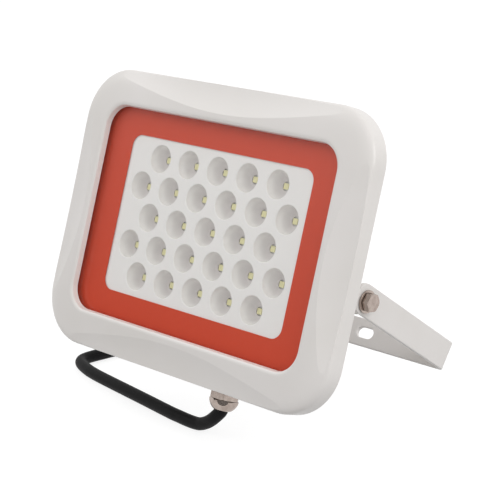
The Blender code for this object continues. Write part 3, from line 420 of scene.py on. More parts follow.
def turned(name, profile, steps=48):
    """A turned piece about z, from a profile of (radius, height), closed if it's off the axis."""
    bm = bmesh.new()
    points = [bm.verts.new((radius, 0.0, height)) for radius, height in profile]
    edges = [bm.edges.new(pair) for pair in zip(points, points[1:])]
    if profile[0][0] > 0.0:
        edges.append(bm.edges.new((points[-1], points[0])))
    turn = {"axis": (0.0, 0.0, 1.0), "cent": (0.0, 0.0, 0.0), "angle": 2 * math.pi}
    bmesh.ops.spin(bm, geom=points + edges, steps=steps, use_merge=True, **turn)
    bmesh.ops.remove_doubles(bm, verts=bm.verts[:], dist=WELD)
    return mesh_piece(name, bm)


def prism(name, outline, low, high):
    """A prism along z on an outline."""
    bm = bmesh.new()
    base = bm.faces.new([bm.verts.new((x, y, low)) for x, y in outline])
    grown = bmesh.ops.extrude_face_region(bm, geom=[base])
    raised = [v for v in grown["geom"] if isinstance(v, bmesh.types.BMVert)]
    bmesh.ops.translate(bm, vec=(0.0, 0.0, high - low), verts=raised)
    return mesh_piece(name, bm)


def bar(name, radius, low, high, place=Matrix(), steps=32):
    """A round bar along z, in its place."""
    made = prism(name, circle(radius, steps=steps), low, high)
    made.matrix_basis = place
    return made


def hexagon(across_flats, turn=0.0):
    """Outline of a hexagon with a corner at the angle turn, in degrees."""
    return arc((0.0, 0.0), across_flats / math.sqrt(3), turn, turn + 300, 5)


def gathered(name, pieces, places=()):
    """One object out of pieces where they are, or at each of the places; the pieces go."""
    bm = bmesh.new()
    for piece in pieces:
        for place in places or [piece.matrix_basis]:
            start = len(bm.verts)
            bm.from_mesh(piece.data)
            bm.verts.ensure_lookup_table()
            bmesh.ops.transform(bm, matrix=place, verts=bm.verts[start:])
    made = mesh_piece(name, bm)
    for piece in pieces:
        bpy.data.objects.remove(piece, do_unlink=True)
    return made


def at(x, y, z=0.0):
    """A place with no turn."""
    return Matrix.Translation((x, y, z))


def worked(target, *steps):
    """Cut, join or intersect the target with tools, in turn; the tools go."""
    for tool, operation in steps:
        step = target.modifiers.new(tool.name, "BOOLEAN")
        step.operation = operation
        step.object = tool
        step.solver = "EXACT"
    made = applied(target)
    for tool, _ in steps:
        bpy.data.objects.remove(tool, do_unlink=True)
    return made


def fitted(obj, place, finish, body, replaced=()):
    """Put a piece in its place in the row's frame, finish it and let it ride on its body."""
    obj.data.transform(place)
    if not obj.data.materials:
        obj.data.materials.append(finish)
    else:
        for index in range(len(obj.data.materials)):
            obj.data.materials[index] = finish
    obj.data.shade_smooth()
    obj.data.set_sharp_from_angle(angle=SHARP_FROM)
    weighted = obj.modifiers.new("even_shading", "WEIGHTED_NORMAL")
    weighted.keep_sharp = True
    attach(obj, body)
    if replaced:
        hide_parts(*replaced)


# Supply lead: a sheath with three cores out of its end
LEAD_RADIUS = 0.00325
CORE_RADIUS = 0.00105
LEAD_REST = -0.0304
LEAD_STEP = 0.0010
GLAND_X = 0.0192
GLAND_Z = -0.0180
GLAND_END = -0.0828
LEAD_FROM = GLAND_END + 0.0018  # inside the mouth of the nut
LEAD_TURN_FROM = GLAND_END + 0.0010
LEAD_TURN_RADIUS = 0.0042
LEAD_TURN = (0, 16, 32, 46)  # degrees
LEAD_DOWN = (
    (0.0156, -0.0958, -0.0231),
    (0.0133, -0.0958, -0.0251),
    (0.0103, -0.0957, -0.0272),
    (0.0072, -0.0956, -0.0288),
    (0.0040, -0.0955, -0.0299),
    (0.0002, -0.0954, -0.0303),
)  # from the gland to the floor
LEAD_ROUTE = (
    (-0.0045, -0.0952),
    (-0.0105, -0.0947),
    (-0.0187, -0.0939),
    (-0.0399, -0.0908),
    (-0.0620, -0.0877),
    (-0.0824, -0.0848),
    (-0.0916, -0.0831),
    (-0.0961, -0.0819),
    (-0.1012, -0.0802),
    (-0.1056, -0.0783),
    (-0.1087, -0.0763),
    (-0.1107, -0.0736),
    (-0.1115, -0.0702),
    (-0.1114, -0.0652),
    (-0.1107, -0.0594),
    (-0.1099, -0.0525),
    (-0.1082, -0.0440),
    (-0.1042, -0.0355),
    (-0.0972, -0.0288),
    (-0.0880, -0.0258),
    (-0.0750, -0.0252),
    (-0.0600, -0.0252),
    (-0.0400, -0.0253),
    (-0.0140, -0.0252),
)  # on the floor
CORE_LENGTH = 0.0240
CORE_STEP = 0.0005
STRIPPED = 0.0065  # bare end of each core
STRAND_RADIUS = 0.00021
STRAND_OUT = 0.00044  # from the middle of the core to the middle of a strand
STRAND_TWIST = 0.16  # radians per step
FINE_STEPS = 24  # between two points of a route


def smooth_route(points, step):
    """Points about one step apart on a smooth curve through the route."""
    spare = [points[0] * 2 - points[1], *points, points[-1] * 2 - points[-2]]
    fine = []
    for before, start, end, after in zip(spare, spare[1:], spare[2:], spare[3:]):
        for part in range(FINE_STEPS):
            t = part / FINE_STEPS
            square = (2 * before - 5 * start + 4 * end - after) * t * t
            cube = (3 * start - before - 3 * end + after) * t * t * t
            fine.append(0.5 * (2 * start + (end - before) * t + square + cube))
    fine.append(points[-1])
    length = sum((b - a).length for a, b in zip(fine, fine[1:]))
    count = max(2, round(length / step))
    kept = [fine[0]]
    walked = 0.0
    for a, b in zip(fine, fine[1:]):
        walked += (b - a).length
        if walked >= length * len(kept) / count - 1e-9 and len(kept) < count:
            kept.append(b)
    kept.append(fine[-1])
    return kept


def route_frames(points):
    """The side and up directions at each point of a route, turned as little as possible."""
    heading = (points[1] - points[0]).normalized()
    side = heading.orthogonal().normalized()
    frames = []
    for i in range(len(points)):
        along = points[min(i + 1, len(points) - 1)] - points[max(i - 1, 0)]
        along.normalize()
        side = (side - along * side.dot(along)).normalized()
        frames.append((side.copy(), along.cross(side)))
    return frames


def tube(name, points, radius, sides, stripes=()):
    """A round tube through the points; stripes are the sides that take the second material."""
    bm = bmesh.new()
    rings = []
    for point, (side, up) in zip(points, route_frames(points)):
        angles = [2 * math.pi * k / sides for k in range(sides)]
        rings.append(
            [bm.verts.new(point + (side * math.cos(a) + up * math.sin(a)) * radius) for a in angles]
        )
    for lower, upper in zip(rings, rings[1:]):
        for k in range(sides):
            j = (k + 1) % sides
            face = bm.faces.new((lower[k], lower[j], upper[j], upper[k]))
            face.material_index = 1 if k in stripes else 0
    bm.faces.new(rings[0][::-1])
    bm.faces.new(rings[-1])
    return mesh_piece(name, bm)


def hung(obj, finishes, replaced=()):
    """Finish a wire where it lies and let it ride on the head."""
    for finish in finishes:
        obj.data.materials.append(finish)
    obj.data.shade_smooth()
    obj.data.set_sharp_from_angle(angle=WIRE_SHARP_FROM)
    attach(obj, "head")
    if replaced:
        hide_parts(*replaced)
    return obj


lead_start = LAMP @ Vector((GLAND_X, LEAD_FROM, GLAND_Z))
turn_start = LAMP @ Vector((GLAND_X, LEAD_TURN_FROM, GLAND_Z))
out_of_gland = LAMP_TURN.to_3x3() @ Vector((0.0, -1.0, 0.0))
lead_points = [lead_start]
for angle in LEAD_TURN:
    out = LEAD_TURN_RADIUS * math.sin(math.radians(angle))
    aside = LEAD_TURN_RADIUS * (1 - math.cos(math.radians(angle)))
    lead_points.append(turn_start + out_of_gland * out - Vector((aside, 0.0, 0.0)))
lead_points += [Vector(point) for point in LEAD_DOWN]
lead_points += [Vector((*point, LEAD_REST)) for point in LEAD_ROUTE]
lead_path = smooth_route(lead_points, LEAD_STEP)
lead = tube("rubber_lead", lead_path, LEAD_RADIUS, 32)
lead = hung(lead, [SHEATH], ["supply_lead"])

GREEN_SIDES = (0, 1, 2, 3, 4, 9, 10, 11, 12, 13)  # two green stripes on the yellow core
CORES = (
    ("live", -1.0, [BROWN], (), "brown_core"),
    ("earth", 0.0, [YELLOW, GREEN], GREEN_SIDES, "green_yellow_core"),
    ("neutral", 1.0, [BLUE], (), "blue_core"),
)
lead_end = lead_points[-1] + Vector((GAP, 0.0, 0.0))
core_rest = LEAD_REST - LEAD_RADIUS + CORE_RADIUS + 0.0001
for core, spread, finishes, stripes, slot in CORES:
    middle = spread == 0.0
    # the cores leave the sheath as a triangle, fan out and come to rest on the floor
    route = [
        lead_end + Vector((0.0, spread * 0.00115, 0.00132 if middle else -0.00066)),
        lead_end + Vector((0.0030, spread * 0.0016, 0.0011 if middle else -0.0011)),
        lead_end + Vector((0.0075, spread * 0.0027, -0.0004 if middle else -0.0018)),
        Vector((lead_end.x + 0.0125, lead_end.y + spread * 0.0038, core_rest)),
        Vector((lead_end.x + CORE_LENGTH, lead_end.y + spread * 0.0056, core_rest)),
    ]
    path = smooth_route(route, CORE_STEP)
    strip_from = len(path) - round(STRIPPED / CORE_STEP)
    wire = tube("core_" + core, path[: strip_from + 1], CORE_RADIUS, 18, stripes)
    hung(wire, finishes, ["lead_core_" + core])

    # seven strands of copper with a slow twist, one in the middle and six round it
    bare = path[strip_from:]
    frames = route_frames(bare)
    strands = []
    for strand in range(7):
        line = []
        for index, (point, (side, up)) in enumerate(zip(bare, frames)):
            a = strand * math.pi / 3 + index * STRAND_TWIST
            off = 0.0 if strand == 6 else STRAND_OUT
            line.append(point + (side * math.cos(a) + up * math.sin(a)) * off)
        strands.append(tube("strand", line, STRAND_RADIUS, 8))
    conductor = gathered("strands_" + core, strands)
    hung(conductor, [COPPER])

# Reflector plate with a bowl for each LED
PITCH_X = 0.020
PITCH_Y = 0.015
CUP_ROWS = (5, 6, 5, 6, 5)
CUP_RIM_RADIUS = 0.0069
CUP_FOOT_RADIUS = 0.0022
CUP_DEPTH = 0.0069
CUP_WALL = 0.0011
CUP_FOOT_WALL = 0.0019
RIM_ROUND = 0.0005
PLATE_HALF = (0.0768, 0.0518)
PLATE_CORNER = 0.0080
PLATE_THICKNESS = 0.0015
TOOL_TOP = 0.0030
TOOL_BOTTOM = -0.0100

cup_places = []
for row, count in enumerate(CUP_ROWS):
    y = PITCH_Y * ((len(CUP_ROWS) - 1) / 2 - row)
    for column in range(count):
        cup_places.append(at(PITCH_X * (column - (count - 1) / 2), y))

plate_outline = rounded(PLATE_HALF, PLATE_CORNER)
reflector = plate("reflector_moulding", [plate_outline], -PLATE_THICKNESS, 0.0)
shell_profile = [
    (0.0, -PLATE_THICKNESS / 2),
    (CUP_RIM_RADIUS + CUP_WALL, -PLATE_THICKNESS / 2),
    (CUP_RIM_RADIUS * 0.94 + CUP_WALL, -CUP_DEPTH * 0.55),
    (CUP_FOOT_RADIUS + CUP_FOOT_WALL, -CUP_DEPTH),
    (0.0, -CUP_DEPTH),
]
bowl_profile = [(0.0, TOOL_TOP), (CUP_RIM_RADIUS + RIM_ROUND, TOOL_TOP)]
bowl_profile += [
    (CUP_RIM_RADIUS + RIM_ROUND * (1 - math.sin(a)), RIM_ROUND * (math.cos(a) - 1))
    for a in quarter(4)
]
bowl_profile += [
    (
        CUP_FOOT_RADIUS + (CUP_RIM_RADIUS - CUP_FOOT_RADIUS) * math.cos(a),
        (CUP_FLOOR + RIM_ROUND) * math.sin(a) - RIM_ROUND,
    )
    for a in quarter(12)[1:]
]
bowl_profile += [(CUP_FOOT_RADIUS, TOOL_BOTTOM), (0.0, TOOL_BOTTOM)]
reflector = worked(
    reflector,
    (gathered("cup_shells", [turned("cup_shell", shell_profile, 24)], cup_places), "UNION"),
    (gathered("cup_bowls", [turned("cup_bowl", bowl_profile, 48)], cup_places), "DIFFERENCE"),
)
fitted(reflector, LAMP, ABS, "head", ["reflector_plate"])

# Faces of the LEDs, a little proud of their packages
LED_FACE_HALF = 0.00145
LED_FACE_CORNER = 0.0003
LED_FACE_EDGE = 0.00008
LED_FACE_BACK = -0.00659
LED_FACE_TOP = -0.0061
led_outline = rounded((LED_FACE_HALF, LED_FACE_HALF), LED_FACE_CORNER)
face = plate("led_face", [led_outline], LED_FACE_BACK, LED_FACE_TOP, LED_FACE_EDGE)
fitted(gathered("led_faces", [face], cup_places), LAMP, PHOSPHOR, "head")

# Bezel
BEZEL_HALF = (0.0965, 0.0715)
BEZEL_CORNER = 0.0265
CORNER_PER_INSET = 0.784
BEZEL_BACK = -0.0056
BEZEL_LIP = 0.0065
REBATE_INSET = 0.0142
BEZEL_WALL = 0.0026
FACET_FALL = math.tan(math.radians(20.0))  # at the facet's inner edge
FACET_EASE = 8.9  # how fast it levels out towards the outer edge, per metre
FACET_DROOP = 0.0031  # of its inner edge, which follows the bezel's round at both ends
FACET_LIP = BEZEL_LIP - 0.0002
FACET_MIDDLE = 0.008  # from the facet's inner edge to the middle of the tool
FACET_REACH = 0.018
FACET_TOOL_TOP = 0.020
SIDE_FACET = (0.0820, 0.111, 0.062)  # inner edge, radius of that edge and half width
END_FACET = (0.0573, 0.240, 0.088)
REBATE_BACK = -0.0024
REBATE_FRONT = 0.0031
BEZEL_BOSS_RADIUS = 0.0036
BEZEL_BOSS_FRONT = 0.0034
BEZEL_DRILL_RADIUS = 0.0018
BEZEL_DRILL_FRONT = 0.0022
TOP_SCREWS = ((-0.083, 0.058), (0.0, 0.064), (0.083, 0.058))
BEZEL_SCREWS = [(x, side * y) for side in (1, -1) for x, y in TOP_SCREWS]

LIP_FROM = 0.0165
LIP_ROUND = (0.0019, 0.0009)  # across, and down
FRONT_STEP = 0.0011
BEZEL_FRONT = (
    (0.0000, 0.0018),
    (0.0004, 0.0033),
    (0.0015, 0.0044),
    (0.0035, 0.0052),
    (0.0065, 0.0058),
    (0.0110, 0.0062),
    (LIP_FROM, BEZEL_LIP),
)  # inset from the outline, and height
front_route = smooth_route([Vector((*point, 0.0)) for point in BEZEL_FRONT], FRONT_STEP)
lip_round = [
    (LIP_FROM + LIP_ROUND[0] * math.sin(a), BEZEL_LIP - LIP_ROUND[1] * (1 - math.cos(a)))
    for a in (0.3, 0.6, 0.9, 1.2, 1.5)
]
bezel_section = [
    (0.0004, BEZEL_BACK),
    (0.0000, BEZEL_BACK + 0.0006),
    *[(point.x, point.y) for point in front_route],
    *lip_round,
    (0.0188, REBATE_FRONT),
    (REBATE_INSET, REBATE_FRONT),
    (REBATE_INSET, REBATE_BACK),
    (REBATE_INSET - 0.0020, REBATE_BACK),
    (REBATE_INSET - 0.0020, 0.0026),
    (BEZEL_WALL + 0.0016, 0.0022),
    (BEZEL_WALL, 0.0008),
    (BEZEL_WALL, BEZEL_BACK),
]
bezel_rings = [
    (inset(BEZEL_HALF, depth), BEZEL_CORNER - CORNER_PER_INSET * depth, height)
    for depth, height in bezel_section
]
bezel = loft("bezel_casting", bezel_rings, closed=True, steps=20, sides=24)


def facet_tool(name, inner, radius, half_width, turn):
    """The space above a shallow dish whose inner edge is an arc, out along x and then turned."""
    middle = inner + radius
    bm = bmesh.new()
    bmesh.ops.create_grid(bm, x_segments=16, y_segments=64, size=1.0)
    for vert in bm.verts:
        x = inner + FACET_MIDDLE + vert.co.x * FACET_REACH
        y = vert.co.y * half_width
        out = radius - math.hypot(middle - x, y)
        droop = FACET_DROOP * (y / half_width) ** 4
        vert.co = (x, y, FACET_LIP - droop - FACET_FALL * out + FACET_EASE * out**2)
    for face in bm.faces:
        face.material_index = 1
    grown = bmesh.ops.extrude_face_region(bm, geom=bm.faces[:])
    for vert in grown["geom"]:
        if isinstance(vert, bmesh.types.BMVert):
            vert.co.z = FACET_TOOL_TOP
    bmesh.ops.rotate(bm, verts=bm.verts[:], matrix=Matrix.Rotation(turn, 3, "Z"))
    return mesh_piece(name, bm)


boss_places = [at(x, y) for x, y in BEZEL_SCREWS]
boss = bar("bezel_boss", BEZEL_BOSS_RADIUS, REBATE_BACK, BEZEL_BOSS_FRONT, steps=24)
drill = bar("bezel_drill", BEZEL_DRILL_RADIUS, TOOL_BOTTOM, BEZEL_DRILL_FRONT, steps=20)
facets = []
for index in range(4):
    size = END_FACET if index % 2 else SIDE_FACET
    facets.append((facet_tool("facet", *size, index * math.pi / 2), "DIFFERENCE"))
bezel = worked(
    bezel,
    *facets,
    (gathered("bezel_bosses", [boss], boss_places), "UNION"),
    (gathered("bezel_drills", [drill], boss_places), "DIFFERENCE"),
)


def facet_edges(obj):
    """The edges round the facets, which the tools left in a second material."""
    bm = bmesh.new()
    bm.from_mesh(obj.data)
    creased = [
        edge.index
        for edge in bm.edges
        if len({face.material_index for face in edge.link_faces}) == 2
    ]
    for face in bm.faces:
        face.material_index = 0
    bm.to_mesh(obj.data)
    bm.free()
    return creased


creased = facet_edges(bezel)
fitted(bezel, LAMP, ENAMEL, "head", ["front_bezel"])
# a facet's edge shows as a crisp line, however shallow it is
sharp_edges = bezel.data.attributes["sharp_edge"].data
for index in creased:
    sharp_edges[index].value = True

# Printed border behind the glass
PRINT_HALF = (0.0809, 0.0559)
PRINT_CORNER = 0.0136
WINDOW_HALF = (0.0615, 0.0400)
WINDOW_CORNER = 0.0060
PRINT_BACK = 0.0003
PRINT_FRONT = 0.0005
border_outlines = [rounded(PRINT_HALF, PRINT_CORNER), rounded(WINDOW_HALF, WINDOW_CORNER)]
border = plate("red_border", border_outlines, PRINT_BACK, PRINT_FRONT)
fitted(border, LAMP, FRIT, "head", ["printed_border"])

# Rear housing with its fins
FLANGE_HALF = (0.0922, 0.0672)
FLANGE_CORNER = 0.0225
FLANGE_FRONT = -0.0027
FLANGE_BACK = -0.0052
BODY_HALF = (0.0800, 0.0600)
BODY_BACK_HALF = (0.0745, 0.0565)
BODY_BACK = -0.0300
POCKET_HALF = (0.0776, 0.0526)
POCKET_FLOOR = -0.0087
RIM_HALF = (0.0816, 0.0566)
RIM_FRONT = -0.0013
SLOT_WIDTH = 0.0036
SLOT_FLOOR = -0.0150
SLOT_LIP = 0.0005
SLOT_END = 0.0800  # past the outside of the housing
SIDE_SLOTS = (0.0590, 0.0650, 0.0710)
TOP_SLOT_PITCH = 0.0060
TOP_SLOT_START = 0.0235
TOP_SLOTS = range(-8, 9)
DRIVER_CENTRE = (0.0, -0.0170)
DRIVER_HALF = (0.0450, 0.0330)
DRIVER_CORNER = 0.0040
DRIVER_FLOOR = -0.0130
PAST_BACK = -0.0500
COVER_HALF = (0.0530, 0.0375)
COVER_SCREW_AT = (0.0492, 0.0310)
BOARD_SCREW_AT = (0.061, 0.039)
GLAND_PAD = -0.0665
GLAND_THREAD_RADIUS = 0.0058
BOLT_RADIUS = 0.0024
# radius, start and end of the bosses and holes of the housing, along their own axes
PIVOT_BOSS = (0.0070, 0.0535, 0.0806)
GLAND_BOSS = (0.0095, 0.0530, -GLAND_PAD)
BOLT_HOLE = (BOLT_RADIUS + GAP, 0.0600, 0.0900)
GLAND_HOLE = (GLAND_THREAD_RADIUS + GAP, 0.0450, 0.0800)
BEZEL_SCREW_HOLE = (0.0019, -0.0060, -0.0010)
BOARD_SCREW_HOLE = (0.0015, -0.0135, -0.0070)
COVER_SCREW_HOLE = (0.0020, -0.0340, -0.0215)
WIRE_HOLE = (0.0025, -0.0150, -0.0070)
WIRE_HOLE_AT = (0.0, -0.0080)

housing_rings = [
    (inset(BODY_BACK_HALF, 0.0010), 0.0100, BODY_BACK),
    (inset(BODY_BACK_HALF, 0.0003), 0.0107, BODY_BACK + 0.0003),
    (BODY_BACK_HALF, 0.0110, BODY_BACK + 0.0010),
    (inset(BODY_HALF, 0.0010), 0.0134, -0.0085),
    (inset(BODY_HALF, 0.0004), 0.0138, FLANGE_BACK - 0.0004),
    (BODY_HALF, 0.0140, FLANGE_BACK),
    (inset(FLANGE_HALF, 0.0004), FLANGE_CORNER - 0.0004, FLANGE_BACK),
    (FLANGE_HALF, FLANGE_CORNER, FLANGE_BACK + 0.0004),
    (FLANGE_HALF, FLANGE_CORNER, FLANGE_FRONT),
    (RIM_HALF, 0.0140, FLANGE_FRONT),
    (RIM_HALF, 0.0140, RIM_FRONT),
    (POCKET_HALF, 0.0100, RIM_FRONT),
    (POCKET_HALF, 0.0100, POCKET_FLOOR),
]
housing = loft("housing_casting", housing_rings)


def slot_tool(x, low_y, high_y):
    """The space of one slot between fins: a round floor and rounded lips at its mouth."""
    half = SLOT_WIDTH / 2
    outline = [(half + SLOT_LIP, BODY_BACK - 0.002), (half + SLOT_LIP, BODY_BACK)]
    outline += arc((half + SLOT_LIP, BODY_BACK + SLOT_LIP), SLOT_LIP, -90, -180, 4)[1:]
    outline += arc((0.0, SLOT_FLOOR - half), half, 0, 180, 8)
    outline += arc((-half - SLOT_LIP, BODY_BACK + SLOT_LIP), SLOT_LIP, 0, -90, 4)
    outline.append((-half - SLOT_LIP, BODY_BACK - 0.002))
    made = prism("slot", outline, -high_y, -low_y)
    made.matrix_basis = at(x, 0.0) @ Matrix.Rotation(math.pi / 2, 4, "X")
    return made


def along_x(side):
    """A place on the pivot axis with z pointing out at one side."""
    return at(0.0, PIVOT_Y, PIVOT_Z) @ Matrix.Rotation(side * math.pi / 2, 4, "Y")


GLAND = at(GLAND_X, 0.0, GLAND_Z) @ Matrix.Rotation(math.pi / 2, 4, "X")
BOARD_SCREWS = [(x * BOARD_SCREW_AT[0], y * BOARD_SCREW_AT[1]) for x in (-1, 1) for y in (-1, 1)]
COVER_SCREWS = [
    (x * COVER_SCREW_AT[0], DRIVER_CENTRE[1] + y * COVER_SCREW_AT[1])
    for x in (-1, 1)
    for y in (-1, 1)
]
slots = [slot_tool(side * x, -SLOT_END, SLOT_END) for side in (-1, 1) for x in SIDE_SLOTS]
slots += [slot_tool(i * TOP_SLOT_PITCH, TOP_SLOT_START, SLOT_END) for i in TOP_SLOTS]
pocket_outline = rounded(DRIVER_HALF, DRIVER_CORNER, DRIVER_CENTRE)
pocket = prism("driver_pocket", pocket_outline, PAST_BACK, DRIVER_FLOOR)
bosses = [bar("boss", *PIVOT_BOSS, along_x(side), 48) for side in (-1, 1)]
bosses.append(bar("boss", *GLAND_BOSS, GLAND, 48))
drills = [bar("drill", *BOLT_HOLE, along_x(side)) for side in (-1, 1)]
drills.append(bar("drill", *GLAND_HOLE, GLAND))
for hole, points in (
    (BEZEL_SCREW_HOLE, BEZEL_SCREWS),
    (BOARD_SCREW_HOLE, BOARD_SCREWS),
    (COVER_SCREW_HOLE, COVER_SCREWS),
    (WIRE_HOLE, [WIRE_HOLE_AT]),
):
    drills += [bar("drill", *hole, at(x, y), 16) for x, y in points]
housing = worked(
    housing,
    (gathered("fin_slots", slots), "DIFFERENCE"),
    (pocket, "DIFFERENCE"),
    (gathered("housing_bosses", bosses), "UNION"),
    (gathered("housing_drills", drills), "DIFFERENCE"),
)
fitted(housing, LAMP, CAST_COAT, "head", ["rear_housing"])

# Driver cover
COVER_SEAL = 0.0010
COVER_THICKNESS = 0.0020
COVER_BACK = BODY_BACK - GAP - COVER_SEAL - GAP - COVER_THICKNESS
COVER_CORNER = 0.0050
COVER_HOLE_RADIUS = 0.0023
COVER_EDGE = 0.0005
cover_outlines = [rounded(COVER_HALF, COVER_CORNER, DRIVER_CENTRE)]
cover_outlines += [circle(COVER_HOLE_RADIUS, place) for place in COVER_SCREWS]
cover_front = COVER_BACK + COVER_THICKNESS
cover = plate("driver_lid", cover_outlines, COVER_BACK, cover_front, COVER_EDGE)
fitted(cover, LAMP, CAST_COAT, "head", ["driver_cover"])

# Screws with cross recesses


def pan_screw(name, head_radius, head_height, shank_radius, shank_length):
    """Pan-head screw along z, its head's underside at z = 0."""
    crown = [
        (head_radius * math.sin(a), head_height * (0.45 + 0.55 * math.cos(a)))
        for a in quarter(8)[1:]
    ]
    profile = [(0.0, head_height), *crown, (head_radius, 0.0), (shank_radius, 0.0)]
    profile += [(shank_radius, -shank_length), (0.0, -shank_length)]
    blank = turned(name, profile, 32)
    arms = []
    for turn in (0.0, math.pi / 2):
        wing = prism(
            "wing",
            [
                (-head_radius * 0.55, head_height * 1.2),
                (-head_radius * 0.12, head_height * 0.15),
                (head_radius * 0.12, head_height * 0.15),
                (head_radius * 0.55, head_height * 1.2),
            ],
            -head_radius * 0.11,
            head_radius * 0.11,
        )
        wing.matrix_basis = Matrix.Rotation(turn, 4, "Z") @ Matrix.Rotation(math.pi / 2, 4, "X")
        arms.append(wing)
    return worked(blank, (arms[0], "DIFFERENCE"), (arms[1], "DIFFERENCE"))


BACKWARD = Matrix.Rotation(math.pi, 4, "X")
# head radius and height, shank radius and length
BEZEL_SCREW = (0.0028, 0.0020, 0.0015, 0.0065)
COVER_SCREW = (0.0035, 0.0024, 0.0017, 0.0100)
# each screw stopped at its own angle: that of the first, and the step to the next
BEZEL_SCREW_TURNS = (0.7, 1.1)
COVER_SCREW_TURNS = (0.4, 1.3)
for kind, sizes, points, seat, (first, following) in (
    ("bezel_screw", BEZEL_SCREW, BEZEL_SCREWS, FLANGE_BACK - GAP, BEZEL_SCREW_TURNS),
    ("cover_screw", COVER_SCREW, COVER_SCREWS, COVER_BACK - GAP, COVER_SCREW_TURNS),
):
    screw_places = [
        at(x, y, seat) @ BACKWARD @ Matrix.Rotation(first + index * following, 4, "Z")
        for index, (x, y) in enumerate(points)
    ]
    screws = gathered(kind + "s", [pan_screw(kind, *sizes)], screw_places)
    names = [f"{kind}_{number}" for number in range(1, len(points) + 1)]
    fitted(screws, LAMP, ZINC, "head", names)

# Bracket: a strip cut flat with its holes, then bent twice
STRIP_WIDTH = 0.0145
STRIP_THICKNESS = 0.0025
BRACKET_HALF = 0.0850
BEND_RADIUS = 0.0045
ARM_OVERRUN = 0.0075
ARM_END_CORNER = 0.0060
SLOT_AT = 0.0314
SLOT_REACH = 0.00245
SLOT_RADIUS = 0.0029
BOLT_HOLE_RADIUS = 0.0028
STRIP_EDGE = 0.0004
BEND_STEPS = 12

bend_middle = BEND_RADIUS - STRIP_THICKNESS / 2
flat_half = BRACKET_HALF - BEND_RADIUS
bend_length = bend_middle * math.pi / 2
arm_start = flat_half + bend_length
arm_end = arm_start + PIVOT_TO_BASE + ARM_OVERRUN - BEND_RADIUS
pivot_at = arm_start + PIVOT_TO_BASE - BEND_RADIUS


def long_slot(x):
    """Outline of a slot along the strip."""
    return arc((x + SLOT_REACH, 0.0), SLOT_RADIUS, -90, 90, 12) + arc(
        (x - SLOT_REACH, 0.0), SLOT_RADIUS, 90, 270, 12
    )


strip = plate(
    "bracket_strip",
    [
        rounded((arm_end, STRIP_WIDTH / 2), ARM_END_CORNER),
        long_slot(-SLOT_AT),
        long_slot(SLOT_AT),
        circle(BOLT_HOLE_RADIUS, (-pivot_at, PIVOT_BELOW_MIDDLE)),
        circle(BOLT_HOLE_RADIUS, (pivot_at, PIVOT_BELOW_MIDDLE)),
    ],
    -STRIP_THICKNESS / 2,
    STRIP_THICKNESS / 2,
    STRIP_EDGE,
)
bm = bmesh.new()
bm.from_mesh(strip.data)
for side in (-1, 1):
    for step in range(BEND_STEPS + 1):
        cut_at = side * (flat_half + bend_length * step / BEND_STEPS)
        geometry = bm.verts[:] + bm.edges[:] + bm.faces[:]
        bmesh.ops.bisect_plane(
            bm, geom=geometry, plane_co=(cut_at, 0.0, 0.0), plane_no=(1.0, 0.0, 0.0)
        )
for vert in bm.verts:
    side = 1.0 if vert.co.x > 0 else -1.0
    along, across, out = abs(vert.co.x), vert.co.y, vert.co.z
    if along <= flat_half:
        x, y = along, STRIP_THICKNESS / 2 - out
    elif along <= arm_start:
        turn = (along - flat_half) / bend_middle
        x = flat_half + (bend_middle + out) * math.sin(turn)
        y = BEND_RADIUS - (bend_middle + out) * math.cos(turn)
    else:
        x, y = BRACKET_HALF - STRIP_THICKNESS / 2 + out, BEND_RADIUS + along - arm_start
    vert.co = (side * x, y, across)
bm.to_mesh(strip.data)
bm.free()
welded(strip)
fitted(strip, BRACKET, STEEL_COAT, "bracket", ["tilt_bracket"])

# Pivot bolts and washers
BOLT_TURN = 6.0
BOLT_ACROSS_FLATS = 0.0081
BOLT_HEAD = 0.0031
BOLT_FACE = 0.0038  # radius of the flat on its head
BOLT_CHAMFER = 0.0010
BOLT_FROM = 0.0660
WASHER_RADIUS = 0.0055
WASHER_THICKNESS = 0.0009
WASHER_EDGE = 0.00015
WASHER_FACE = BRACKET_HALF + GAP
HEAD_FACE = WASHER_FACE + WASHER_THICKNESS + GAP
for side, side_name in ((-1, "left"), (1, "right")):
    top = HEAD_FACE + BOLT_HEAD
    head = prism("bolt_" + side_name, hexagon(BOLT_ACROSS_FLATS, BOLT_TURN), HEAD_FACE, top)
    crown_profile = [(0.0, top + GAP)]
    crown_profile += [
        (BOLT_FACE + BOLT_CHAMFER * math.sin(a), top - BOLT_CHAMFER * (1 - math.cos(a)))
        for a in quarter(8)
    ]
    crown_profile += [(BOLT_FACE + BOLT_CHAMFER, HEAD_FACE - GAP), (0.0, HEAD_FACE - GAP)]
    shank = bar("shank", BOLT_RADIUS, BOLT_FROM, HEAD_FACE + GAP)
    head = worked(head, (turned("crown", crown_profile, 64), "INTERSECT"), (shank, "UNION"))
    place = LAMP @ along_x(side)
    fitted(head, place, NICKEL, "head", ["pivot_bolt_" + side_name])

    washer = plate(
        "washer_" + side_name,
        [circle(WASHER_RADIUS, steps=64), circle(BOLT_RADIUS + GAP)],
        WASHER_FACE,
        WASHER_FACE + WASHER_THICKNESS,
        WASHER_EDGE,
    )
    fitted(washer, place, NICKEL, "head", ["flat_washer_" + side_name])

